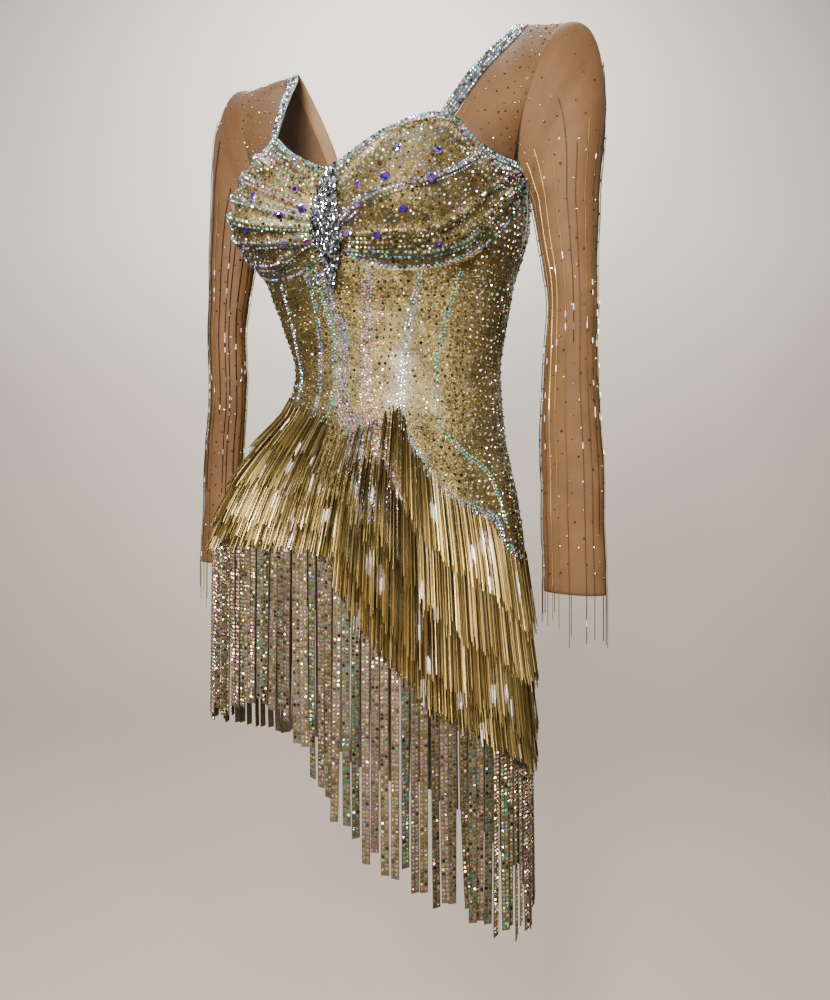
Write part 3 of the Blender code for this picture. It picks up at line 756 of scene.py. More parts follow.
def cloth_material(name, dark, light, roughness, metallic, loops, patches, strength, **more):
    """Knitted cloth between two colours. More inputs of its shader are given with _ for each space."""
    material, tree, shader = new_material(name, dye(*light), roughness, metallic)
    sockets = {"Place": on_cloth(tree), "Loops per metre": loops, "Patches per metre": patches}
    knit = add_node(tree, "Group", sockets, node_tree=KNIT).outputs
    bump = add_node(tree, "Bump", {"Strength": strength, "Distance": 0.0004, "Height": knit["Height"]})
    connect(tree, shader, {
        "Base Color": add_ramp(tree, knit["Shade"], (0.30, *dark), (0.68, *light)),
        "Roughness": add_range(tree, knit["Glitter"], 0.3, 0.7, roughness - 0.10, roughness + 0.12),
        "Normal": bump.outputs["Normal"],
    })
    connect(tree, shader, {socket.replace("_", " "): value for socket, value in more.items()})
    return material, tree, shader, knit, bump


GOLD_STRETCH, gold_tree, _, _, gold_bump = cloth_material(
    "gold stretch satin", (80, 68, 36), (128, 112, 68), 0.38, 0.85, 2600, 30, 0.35, Coat_Weight=0.35,
    Coat_Roughness=0.32,
)
add_flakes(gold_tree, gold_bump, 1500, 0.33)
STRAP_CLOTH = cloth_material("steel grey band", (46, 46, 46), (84, 84, 82), 0.45, 0.5, 2600, 40, 0.35)[0]
LINING = cloth_material("beige lining", (98, 74, 46), (120, 92, 60), 0.75, 0.0, 2400, 30, 0.3)[0]
NUDE_NET, net_tree, net_shader, net_knit, _ = cloth_material(
    "nude power net", (71, 48, 27), (90, 64, 39), 0.66, 0.0, 3600, 18, 0.3, Specular_IOR_Level=0.2,
    Sheen_Weight=0.03, Sheen_Roughness=0.4,
)
connect(net_tree, net_shader, {"Alpha": add_range(net_tree, net_knit["Height"], 0.3, 0.7, 0.92, 1.0)})


FACETS = (
    (0.34, 142, 104, 236), (0.44, 96, 196, 224), (0.51, 168, 238, 178), (0.58, 255, 250, 244), (0.66, 255, 156, 206),
    (0.74, 255, 206, 150),
)
# The large stones' facets: hues of the coating, and near-black and near-white stops that paint dark and bright
# reflections into the facets.
LARGE_FACET_HUES_AND_PAINTED_REFLECTIONS = (
    (0.36, 120, 60, 190), (0.42, 24, 14, 40), (0.47, 190, 130, 255), (0.52, 56, 28, 90), (0.57, 255, 245, 255),
    (0.62, 90, 30, 90), (0.70, 120, 220, 255),
)
AURORA = ((0.0, 255, 255, 255), (0.25, 255, 214, 240), (0.45, 200, 235, 255), (0.7, 190, 240, 205))


def tinted(name, roughness, metallic, coat, facets=None, facet_share=0.0, edge=None, edge_share=0.0):
    """A finish that takes each copy's own tint. Coated glass has a share of a colour that each facet has by
    the way it faces (the coating's colour play, and for the large stones painted dark and bright reflections
    too), and of a second colour where the surface turns away."""
    material, tree, shader = new_material(name, (0.8, 0.8, 0.8), roughness, metallic, coat)
    tint = colour = add_node(tree, "Attribute", attribute_name="tint").outputs["Color"]

    def times(colour, source, stops, share):
        sockets = {"Factor": share, "A": colour, "B": add_ramp(tree, source, *stops)}
        return add_node(tree, "Mix", sockets, data_type="RGBA", blend_type="MULTIPLY").outputs["Result"]

    if facets:
        faced = add_node(tree, "NewGeometry").outputs["True Normal"]
        hues = add_node(tree, "TexNoise", {"Vector": faced, "Scale": 2.6})
        colour = times(colour, hues.outputs["Fac"], facets, facet_share)
    if edge:
        colour = times(colour, add_node(tree, "LayerWeight", {"Blend": 0.35}).outputs["Facing"], edge, edge_share)
    connect(tree, shader, {"Base Color": colour})
    return material, tree, shader, tint


RHINESTONE = tinted("aurora rhinestone", 0.26, 0.82, 0.05, FACETS, 0.60, AURORA, 0.4)[0]
LARGE_STONE = tinted("large aurora stone", 0.08, 0.80, 0.8, LARGE_FACET_HUES_AND_PAINTED_REFLECTIONS, 1.0)[0]
CRYSTAL = tinted("silver crystal", 0.10, 0.97, 0.3)[0]
BUGLE, bead_tree, bead_shader, bead_tint = tinted("gold bugle bead", 0.38, 0.90, 0.05)
bead_blue = add_node(bead_tree, "SeparateColor", {"Color": bead_tint}).outputs["Blue"]
# the beads tinted pale as painted highlights get little metal, so that they show bright under the lamps
connect(bead_tree, bead_shader, {"Metallic": add_range(bead_tree, bead_blue, 0.45, 0.80, 0.92, 0.15)})
# The backing's dark brown is partly its own colour and partly painted shade, so that the backs of turned strips and the
# gaps between strips look unlit.
STRIP_BACK_WITH_PAINTED_SHADE, back_tree, back_shader = new_material("strip backing", dye(50, 43, 31), 0.55, 0.2)
back_place = add_node(back_tree, "TexCoord").outputs["Object"]
back_noise = add_node(back_tree, "TexNoise", {"Vector": back_place, "Scale": 420.0}).outputs["Fac"]
connect(back_tree, back_shader, {"Base Color": add_ramp(back_tree, back_noise, (0.35, 44, 37, 27), (0.65, 78, 67, 50))})
BROOCH_BACK = new_material("darkened brooch back", dye(74, 72, 76), 0.35, 0.8)[0]


# ---------------------------------------------------------------- cloth
def ride(piece, slot, *nodes):
    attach(piece, "root")
    if nodes:
        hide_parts(*nodes)
    return piece


PANEL_COLUMNS, PANEL_UPPER_ROWS, PANEL_SKIRT_ROWS, CUP_COLUMNS, CUP_ROWS = 133, 70, 44, 121, 97


def body_panel_grid(first, last):
    """The front or the back of the body, from its top edge down to the slanted hem."""
    angles = wrapped(np.linspace(first, last, PANEL_COLUMNS))
    top, fringe = body_top(angles), skirt_height(angles, 0)
    upper = [top + (fringe - top) * t for t in np.linspace(0, 1, PANEL_UPPER_ROWS + 1)[:-1]]
    lower = [skirt_height(angles, row) for row in np.linspace(0, SKIRT_ROWS, PANEL_SKIRT_ROWS + 1)]
    heights = np.array(upper + lower)
    places = np.broadcast_to(angles, heights.shape)
    return figure_moved_out(places, heights, STRETCH_CLOTH + body_fold(places, heights))


def cup_grid(side):
    angles = np.linspace(CUP_CENTRE_GAP_ANGLE, CUP_OUTER_ANGLE, CUP_COLUMNS)
    angles = angles if side > 0 else -angles[::-1]
    places, shares = np.broadcast_arrays(angles[None], np.linspace(0, 1, CUP_ROWS)[:, None])
    heights = cup_height(places, shares)
    return figure_moved_out(places, heights, CUP_CLOTH + cup_fold(places, heights))


SLEEVE_CREASES = {
    # (across, down) in metres from the seam under the arm's front end and the top of the sleeve
    "left": (
        ((0.010, 0.02), (0.075, 0.13), 0.0022, 0.0060), ((0.030, 0.01), (0.060, 0.12), -0.0018, 0.0060),
        ((0.060, 0.20), (0.140, 0.235), 0.0016, 0.0060), ((0.040, 0.260), (0.130, 0.290), 0.0014, 0.0055),
        ((0.020, 0.330), (0.120, 0.350), -0.0012, 0.0060), ((0.050, 0.410), (0.150, 0.430), 0.0012, 0.0050),
    ),
    "right": (
        ((0.020, 0.02), (0.070, 0.12), 0.0018, 0.0060), ((0.040, 0.22), (0.120, 0.25), 0.0014, 0.0060),
        ((0.030, 0.300), (0.120, 0.330), 0.0014, 0.0055), ((0.020, 0.400), (0.120, 0.425), 0.0012, 0.0050),
    ),
}
CUFF, CUFF_STEP, STITCH_GROOVE = 0.014, 0.0005, 0.0004


def folded_sleeve(side):
    """The left-hand grid of a sleeve with its creases and its turned-up cuff."""
    grid = sleeve_grid(side)
    out = grid_out(grid, closed=True)
    width = grid_lengths(grid, closed=True)[0]
    rows, columns = grid.shape[:2]
    across = np.broadcast_to(np.arange(columns) / columns * width, (rows, columns))
    down = np.broadcast_to(length_along(grid[:, columns // 2])[:, None], (rows, columns))
    rise = line_rise(across, down, SLEEVE_CREASES[side])
    rise = rise + 0.0005 * np.sin(down * 70 + across * 40) * np.clip(down / 0.05, 0, 1)
    rise = rise * np.clip(down / 0.02, 0, 1) * np.clip((down[-1, 0] - down) / 0.03, 0, 1)
    above_hem = grid[..., 2] - grid[-1, 0, 2]
    rise = rise + CUFF_STEP / (1 + np.exp(np.clip((above_hem - CUFF) / 0.0006, -60, 60)))
    rise = rise - STITCH_GROOVE * np.exp(-(((above_hem - CUFF - 0.002) / 0.0012) ** 2))
    return grid + out * rise[..., None]


GRIDS = {
    "body_front": body_panel_grid(-90 + SIDE_GAP_ANGLE, 90 - SIDE_GAP_ANGLE),
    "body_back": body_panel_grid(90 + SIDE_GAP_ANGLE, 270 - SIDE_GAP_ANGLE),
    "cup_left": cup_grid(1),
    "cup_right": cup_grid(-1),
    "yoke_left": yoke_grid(),
    "strap_left": strap_grid(),
    "sleeve_left": folded_sleeve("left"),
    "sleeve_right": mirrored(folded_sleeve("right")),
}
GRIDS["yoke_right"] = mirrored(GRIDS["yoke_left"])
GRIDS["strap_right"] = mirrored(GRIDS["strap_left"])


def make_cloth():
    gold, net = (GOLD_STRETCH, LINING), (NUDE_NET,)
    kinds = {
        "body": (gold, STRETCH_CLOTH, "cloth", "gold_stretch"), "cup": (gold, CUP_CLOTH, "cloth", "gold_stretch"),
        "yoke": (net, NET_CLOTH, "net", "nude_net"), "sleeve": (net, NET_CLOTH, "net", "nude_net"),
        "strap": ((STRAP_CLOTH, LINING), STRAP_BAND, "band", "rhinestone_band"),
    }
    pieces = {}
    for name in ("body_front", "body_back", *(
        f"{kind}_{side}" for side in ("left", "right") for kind in ("cup", "yoke", "sleeve", "strap")
    )):
        kind = name.split("_")[0]
        materials, thickness, stuff, slot = kinds[kind]
        piece = lay_cloth(f"{name}_{stuff}", GRIDS[name], materials, thickness, closed=kind == "sleeve")
        pieces[name] = ride(piece, slot, name)
    return pieces


# ---------------------------------------------------------------- rhinestones on the body and the cups
LINE_STEPS, FIELD_STEPS, ROUND_STEPS = 400, 721, 1441


class Stones:
    """Stones gathered from many lines and fields, to be set as one piece."""

    def __init__(self):
        self.at, self.out, self.size, self.tint = [], [], [], []

    def add(self, at, out, size, tint):
        self.at.append(at)
        self.out.append(out)
        self.size.append(np.broadcast_to(np.asarray(size, float), (len(at),)))
        self.tint.append(tint)

    def add_on_dress(self, spot, size, tint):
        self.add(dress_face(*spot.T), dress_out(*spot.T), size, tint)

    def places(self):
        return np.concatenate(self.at) if self.at else np.empty((0, 3))

    def set(self, name, sides, tilt):
        axes = square_to(np.concatenate(self.out), np.concatenate(self.size), tilt)
        stones = copies(name, flatback(sides), self.places(), axes, RHINESTONE, np.concatenate(self.tint))
        ride(stones, "rhinestone_band")


def along_line(places, pitch, rows, spacing):
    """(angle, height) places at an even pitch along a line through places, in staggered rows side by side."""
    t = np.linspace(0, 1, LINE_STEPS)
    line = curve_points([(angle, height, 0) for angle, height in places], t)[:, :2]
    length = length_along(dress_face(line[:, 0], line[:, 1]))
    degree = dress_face(line[:, 0] + 0.5, line[:, 1]) - dress_face(line[:, 0] - 0.5, line[:, 1])
    per_degree = np.linalg.norm(degree, axis=1)
    result = []
    for row in range(rows):
        aside = (row - (rows - 1) / 2) * spacing
        stations = np.arange(pitch * (0.5 if row % 2 else 0), length[-1], pitch)
        angle, height = (np.interp(stations, length, line[:, i]) for i in (0, 1))
        scale = np.interp(stations, length, per_degree)
        run = np.gradient(angle) * scale, np.gradient(height)
        size = np.maximum(np.hypot(*run), 1e-9)
        result.append(np.stack([angle - run[1] / size * aside / scale, height + run[0] / size * aside], axis=-1))
    return np.concatenate(result)


# Lines of stones on the body, top to bottom: places, rows side by side, diameter and tints.
COOL = (("silver", 3), ("lilac", 4), ("blue", 3), ("teal", 3), ("green", 2), ("pink", 1), ("painted_glint", 1))
GREENISH = (("green", 6), ("teal", 3), ("silver", 2), ("champagne", 2), ("blue", 1), ("painted_glint", 1))
LILAC = (("lilac", 7), ("silver", 2), ("pink", 3), ("blue", 2), ("teal", 1), ("painted_glint", 1))
ROSY = (("pink", 7), ("peach", 3), ("silver", 1), ("lilac", 3), ("painted_glint", 2))
WARM = (("champagne", 4), ("silver", 2), ("peach", 2), ("topaz", 2), ("green", 1), ("smoke", 2))
# The mix for the lines down the sides is darker: painted shade, as the sides lie away from the lamps.
SIDE_PAINTED_SHADE = (("champagne", 2), ("smoke", 5), ("topaz", 4), ("umber", 2))
BODY_LINES = (
    (((-14.6, -0.243), (-16.4, -0.260), (-16.2, -0.279), (-17.8, -0.302), (-19.8, -0.3275), (-23.5, -0.359),
      (-21.1, -0.386), (-19.5, -0.4135), (-22, -0.440), (-27, -0.462)), 2, 0.0031, COOL),
    (((-12, -0.252), (-11.9, -0.278), (-11.2, -0.303), (-10.6, -0.324), (-13, -0.352), (-11, -0.384),
      (-12.8, -0.439), (-16.1, -0.457)), 2, 0.0031, GREENISH),
    (((-7.3, -0.262), (-7.9, -0.289), (-6.3, -0.314), (-6.4, -0.335), (-9, -0.366), (-4, -0.398), (5.8, -0.421),
      (14.1, -0.458), (20.5, -0.486), (27.5, -0.514)), 7, 0.0026, LILAC),
    (((14, -0.2645), (11.8, -0.282), (9.8, -0.299), (7.4, -0.330), (5.6, -0.356), (6.4, -0.3825), (14.1, -0.414),
      (21.3, -0.441), (26.4, -0.467), (29.3, -0.491), (30.5, -0.516)), 5, 0.0026, ROSY),
    (((35.8, -0.265), (33.9, -0.279), (32, -0.290), (30.3, -0.297), (28.1, -0.317), (26.3, -0.337), (25.1, -0.357),
      (24.1, -0.378), (25.5, -0.402), (30.1, -0.426), (36.8, -0.4455), (47.7, -0.482), (59.5, -0.498), (73.2, -0.512),
      (77, -0.532), (86, -0.552)), 3, 0.0029, COOL),
    (((53.2, -0.266), (49.2, -0.290), (46.3, -0.307), (43.8, -0.332), (42, -0.354), (41.7, -0.378), (42.3, -0.392),
      (46.5, -0.421), (58.9, -0.446), (73.5, -0.471), (80, -0.518)), 2, 0.0031, GREENISH),
    (((-31.5, -0.254), (-37.5, -0.2765), (-41.7, -0.313), (-46.3, -0.345), (-42.7, -0.368), (-40, -0.392)),
     2, 0.0029, COOL),
    (((84, -0.20), (83, -0.26), (82, -0.32), (81, -0.38), (83, -0.44), (85, -0.50), (86, -0.545)), 1, 0.0031, SIDE_PAINTED_SHADE),
    (((88, -0.19), (87, -0.26), (86, -0.32), (86, -0.38), (87, -0.44), (88, -0.50), (89, -0.548)), 1, 0.0031, SIDE_PAINTED_SHADE),
    (((92, -0.18), (91.5, -0.26), (91, -0.32), (91, -0.38), (91.5, -0.44), (92, -0.50), (92, -0.548)),
     1, 0.0031, SIDE_PAINTED_SHADE),
    (((-88, -0.18), (-87, -0.26), (-86, -0.32), (-86, -0.378)), 2, 0.0030, SIDE_PAINTED_SHADE),
)
FIELD_PITCH, BACK_FIELD_PITCH, FIELD_SIZE, GRAIN_GAP, GRAIN_SIZE = 0.0076, 0.0115, 0.0031, 0.0030, 0.0018
# The field's dark mix is partly the stones' own smoky colour and partly a painted reflection of dark surroundings; the
# paler mix, for stones past 60 degrees, is a painted reflection of the bright surroundings on stones turned side-on.
DARK_FIELD = (("smoke", 8), ("umber", 5), ("topaz", 2), ("champagne", 1), ("silver", 2))
PAINTED_REFLECTION_FIELD = (("champagne", 4), ("silver", 4), ("smoke", 3), ("topaz", 2))
BIG_STONES = (
    # angle, height, diameter
    (27.3, -0.193, 0.0095), (28.7, -0.163, 0.0085), (42, -0.163, 0.0095), (40.8, -0.1945, 0.0105),
    (32.8, -0.220, 0.0080), (22.2, -0.235, 0.0080), (9.2, -0.231, 0.0075), (18.3, -0.213, 0.0075), (17, -0.195, 0.0080),
    (43.1, -0.242, 0.0075), (-9.8, -0.190, 0.0080), (-7.5, -0.2075, 0.0100), (-8.5, -0.232, 0.0070),
    (-24, -0.193, 0.0080), (-15, -0.212, 0.0085), (-19, -0.236, 0.0075), (-30, -0.222, 0.0070), (-36, -0.170, 0.0075),
)


def body_field(first_angle, last_angle, pitch):
    """Places on the body in a field of stones, in level rows, every other row half a pitch along."""
    angles = np.linspace(first_angle, last_angle, FIELD_STEPS)
    result = []
    for row, height in enumerate(np.arange(-0.150, -0.580, -pitch * 0.87)):
        length = length_along(figure(angles, height))
        start = pitch * (0.5 if row % 2 else 0)
        angle = wrapped(np.interp(np.arange(start, length[-1], pitch), length, angles))
        angle = angle + draw.normal(0, 0.35, len(angle))
        inside = (height < body_top(angle) - 0.002) & (height > skirt_height(angle, 0) - 0.006)
        result.append(np.stack([angle[inside], height + draw.normal(0, 0.0006, inside.sum())], axis=-1))
    return np.concatenate(result)


def set_body_stones():
    lines, field = Stones(), Stones()
    for places, rows, size, recipe in BODY_LINES:
        spot = along_line(places, size + 0.0004, rows, size + 0.0003)
        spot = spot + draw.normal(0, 0.0003, spot.shape) * [1 / METRES_PER_DEGREE, 1]
        spot = spot[spot[:, 1] < body_top(spot[:, 0]) - 0.002]
        spot = spot[well_apart(dress_face(*spot.T), size * 0.9)]
        spot = spot[clear_of(dress_face(*spot.T), lines.places(), size)]
        sizes = size * draw.uniform(0.85, 1.15, len(spot))
        lines.add_on_dress(spot, sizes, mixed(len(spot), recipe, 0.12, 0.15))
    for first, last, pitch in ((-90, 98, FIELD_PITCH), (98, 270, BACK_FIELD_PITCH)):
        spot = body_field(first, last, pitch)
        spot = spot[clear_of(dress_face(*spot.T), lines.places(), 0.0042)]
        size = FIELD_SIZE * draw.choice([0.8, 1.0, 1.25], len(spot), p=[0.35, 0.5, 0.15])
        # painted reflection: stones past 60 degrees get the paler mix
        tint = np.where(spot[:, :1] > 60, mixed(len(spot), PAINTED_REFLECTION_FIELD, 0.2), mixed(len(spot), DARK_FIELD, 0.2))
        field.add_on_dress(spot, size, tint)
    # small bright grains close together, where the lines crowd down the middle of the front
    spot = np.stack([draw.normal(6, 16, 2400), draw.uniform(-0.47, -0.25, 2400)], axis=-1)
    spot = spot[(spot[:, 1] < body_top(spot[:, 0]) - 0.004) & (spot[:, 1] > skirt_height(spot[:, 0], 0.6))]
    spot = spot[clear_of(dress_face(*spot.T), np.concatenate([lines.places(), field.places()]), GRAIN_GAP)]
    spot = spot[well_apart(dress_face(*spot.T), GRAIN_GAP)]
    field.add_on_dress(spot, GRAIN_SIZE, mixed(len(spot), WARM, 0.12, 0.2))
    lines.set("body_line_stones", 6, 0.15)
    field.set("body_field_stones", 6, 0.20)


LARGE_MIX = (("violet", 3), ("blue", 1), ("lilac", 5), ("pink", 4))
CUP_FIELD = (("smoke", 5), ("umber", 2), ("topaz", 2), ("champagne", 3), ("pink", 2), ("lilac", 3), ("green", 2))
SWAG_MIXES = {1: (LILAC, WARM, WARM, GREENISH, GREENISH, COOL), -1: (GREENISH, WARM, ROSY, COOL, GREENISH, COOL, LILAC)}
CUP_FIELD_TRIES, CUP_FIELD_GAP, CUP_FIELD_SIZE = 9000, 0.0039, 0.0028


def set_cup_stones():
    stones = Stones()
    angle, height, size = np.array(BIG_STONES).T
    at, out = dress_face(angle, height, 0.0002), dress_out(angle, height)
    tint = mixed(len(at), LARGE_MIX, 0.05)
    ride(
        copies("cup_large_stones", cut_crystal(10), at, square_to(out, size, 0.10), LARGE_STONE, tint),
        "rhinestone_band",
    )

    def add_row(places, pitch, rows, size, recipe, spacing=None):
        spot = along_line(places, pitch, rows, spacing or size + 0.0004)
        share, side = cup_share(*spot.T), np.abs(spot[:, 0])
        spot = spot[(share > 0.012) & (share < 0.9995) & (side < 87.4) & (side > 0.8)]
        point = dress_face(*spot.T)
        keep = well_apart(point, size * 0.9) & clear_of(point, at, 0.0052)
        spot = spot[keep & clear_of(point, stones.places(), size * 0.94)]
        sizes = size * draw.uniform(0.88, 1.08, len(spot))
        stones.add_on_dress(spot, sizes, mixed(len(spot), recipe, 0.12, 0.30))

    for sign in (1, -1):
        angles = np.linspace(1.0, 87.4, 40)
        edge = [(sign * a, cup_height(a, 0.018)) for a in angles]
        add_row(edge, 0.0044, 1, 0.0042, COOL)
        add_row([(a, z - 0.0062) for a, z in edge], 0.0043, 2, 0.0037, COOL if sign > 0 else GREENISH, 0.0046)
        for below, recipe in ((0.0150, LILAC), (0.0205, ROSY), (0.0262, GREENISH)):
            add_row([(a, z - below * (1 + 0.15 * math.sin(a / 9))) for a, z in edge], 0.0052, 1, 0.0032, recipe)
        add_row([(sign * a, cup_height(a, 0.997)) for a in angles], 0.0046, 1, 0.0044, COOL)
        for number, (swag, recipe) in enumerate(zip(SWAGS[sign], SWAG_MIXES[sign])):
            line = [
                (sign * a, float(smooth_through(swag, a)))
                for a in np.linspace(swag[0][0] + 1, min(swag[-1][0], 87), 30)
            ]
            rows, size = (3, 0.0033) if sign > 0 and number == 0 else (2, 0.0038)
            add_row(line, size + 0.0007, rows, size, recipe, size + 0.0002)
    # a field of small dark and bright stones over what is left
    angle = draw.uniform(1.5, 87, CUP_FIELD_TRIES) * draw.choice([-1, 1], CUP_FIELD_TRIES)
    spot = np.stack([angle, cup_height(angle, draw.uniform(0.04, 0.97, CUP_FIELD_TRIES))], axis=-1)
    point = dress_face(*spot.T)
    keep = clear_of(point, stones.places(), 0.0033) & clear_of(point, at, 0.0058)
    spot, point = spot[keep], point[keep]
    spot = spot[well_apart(point, CUP_FIELD_GAP)]
    size = CUP_FIELD_SIZE * draw.choice([0.8, 1.0, 1.2], len(spot))
    stones.add_on_dress(spot, size, mixed(len(spot), CUP_FIELD, 0.2))
    stones.set("cup_stones", 6, 0.26)


# ---------------------------------------------------------------- rhinestones on the straps and the net
STRAP_MIX = (("silver", 5), ("slate", 3), ("blue", 2), ("green", 2), ("champagne", 3), ("lilac", 2), ("painted_glint", 1))
NET_MIX = (("topaz", 5), ("bronze", 4), ("smoke", 4), ("champagne", 1))
STRAP_STONE_PITCH, STRAP_STONE, YOKE_PITCH, SLEEVE_PITCH = 0.0041, 0.0036, 0.0098, 0.0135


def set_strap_stones():
    stones = Stones()
    for side in ("left", "right"):
        grid = GRIDS[f"strap_{side}"]
        out, length = grid_out(grid), grid_lengths(grid)[1]
        for row, place in enumerate((0.12, 0.37, 0.63, 0.88)):
            down = (np.arange(0.0020, length - 0.002, STRAP_STONE_PITCH) + (0.0020 if row % 2 else 0)) / length
            down = down[down < 0.995]
            across = np.full(len(down), place)
            size = STRAP_STONE * draw.uniform(0.90, 1.03, len(down))
            point, normal = at_grid(grid, across, down), unit(at_grid(out, across, down))
            stones.add(point, normal, size, mixed(len(down), STRAP_MIX, 0.15, 0.25))
    stones.set("strap_stones", 8, 0.22)


def set_net_stones():
    stones = Stones()
    for name in ("yoke_left", "yoke_right", "sleeve_left", "sleeve_right"):
        closed = name.startswith("sleeve")
        pitch = SLEEVE_PITCH if closed else YOKE_PITCH
        grid = GRIDS[name]
        width, length = grid_lengths(grid, closed)
        columns, rows = max(2, round(width / pitch)), round(length / pitch)
        across, down = np.meshgrid((np.arange(columns) + 0.5) / columns, (np.arange(rows) + 0.5) / rows)
        across = across + (np.arange(rows)[:, None] % 2) * 0.5 / columns + draw.normal(0, 0.13 / columns, across.shape)
        down = down + draw.normal(0, 0.16 / rows, down.shape)
        inside = (down > 0.01) & (down < 0.97) & (closed | ((across > 0.02) & (across < 0.98)))
        across, down = across[inside], down[inside]
        point, normal = (at_grid(table, across, down, closed) for table in (grid, grid_out(grid, closed)))
        size = draw.choice([0.0020, 0.0026, 0.0032], len(point), p=[0.3, 0.5, 0.2])
        stones.add(point, unit(normal), size, mixed(len(point), NET_MIX, 0.2))
    stones.set("net_stones", 8, 0.25)


# ---------------------------------------------------------------- bead fringe
BEAD_GAP, BEAD_LENGTH, BEAD_WIDTH, SLEEVE_BEAD_LENGTH, SLEEVE_BEAD_WIDTH = 0.0001, 0.0140, 0.00092, 0.0055, 0.0009
GOLD_MIX = (("gold", 7), ("pale_gold", 3), ("bronze", 6), ("umber", 1))
SLEEVE_MIX = (("gold", 3), ("bronze", 6), ("umber", 3))


def string_beads(name, strands, recipe, painted_shade, painted_highlight, longest, wide):
    """Tube beads along strands: each strand is an array of points. Every strand has its own cast of colour,
    the shade table gives the painted shade and light of its beads from its top to its end, and the highlight
    function how much painted highlight each one takes, by the place of its middle."""
    starts, runs, tints, rolls = [], [], [], []
    for points in strands:
        length = length_along(points)
        bead = longest * draw.uniform(0.85, 1.15)
        at = np.arange(draw.uniform(0, bead / 2), length[-1] - bead, bead + BEAD_GAP)
        first, last = (
            np.stack([np.interp(down, length, line) for line in points.T], axis=-1) for down in (at, at + bead)
        )
        starts.append(first)
        runs.append(last - first)
        rolls.append(np.full((len(at), 1), draw.uniform(-0.42, 0.42)))
        # painted shade and light along the strand: dark at its top, where the tier above hangs over it, light at its
        # end
        light = 1 if painted_shade is None else np.interp((at + bead / 2) / length[-1], (0, 0.38, 0.68, 0.96), painted_shade)[:, None]
        # broad patches of painted light and shade across the strands
        x, z = first[:, :1], first[:, 2:]
        light = light * (1 + 0.16 * np.sin(95 * x + 40 * z) * np.sin(70 * z - 55 * x))
        tints.append(mixed(1, recipe, 0.05) * light * draw.normal(1, 0.04, (len(at), 1)))
    start, run, tint, roll = map(np.concatenate, (starts, runs, tints, rolls))
    # painted highlights: beads near a highlight's centre are blended towards the near-white tint
    part = painted_highlight(start + run / 2)[:, None]
    tint = np.clip(tint, 0, 1) * (1 - part) + TINTS["painted_glint"] * part
    along = unit(run)
    level = unit(np.cross(along, unit(start * [1, 1, 0])))
    across = level * np.cos(roll) + np.cross(along, level) * np.sin(roll)
    width = wide * draw.uniform(0.96, 1.04, (len(run), 1))
    axes = np.stack([across * width, np.cross(along, across) * width, run], axis=1)
    return copies(name, bugle(), start, axes, BUGLE, tint)


def even_angles(row, pitch):
    """Angles all the way round a row of the skirt, evenly spaced as seen from below."""
    angles = np.linspace(-180, 180, ROUND_STEPS)
    length = length_along(figure(angles, skirt_height(angles, row))[:, :2])
    count = round(length[-1] / pitch)
    return np.interp(np.arange(count) / count * length[-1], length, angles)


STRAND_PITCH, STRAND_STEPS, STRAND_LIFT, STONED_POINT = 0.00102, 16, 0.0006, 8
# Painted highlights on the tiers: how many spots each tier has, how far each spreads and how white its middle is.
PAINTED_HIGHLIGHT_PLACES, PAINTED_HIGHLIGHT_REACH, PAINTED_HIGHLIGHT_MOST = 30, 0.0024, 0.9
# Painted shade and light along the strands of a tier, from top to end: darker at the top under the ends of the tier
# above, lighter towards the ends.
TIER_PAINTED_SHADE = (0.40, 0.54, 0.84, 1.02)


def falling(angle, height):
    """Angles down strands from their tops: each falls straight, and only the swell of the hip moves it."""
    angles = [angle]
    for above, here in zip(height[:-1], height[1:]):
        aside = figure(angles[-1] + 0.5, here) - figure(angles[-1] - 0.5, here)
        slip = ((figure(angles[-1], here) - figure(angles[-1], above)) * aside).sum(1) / (aside ** 2).sum(1)
        angles.append(angles[-1] - slip)
    return np.stack(angles)


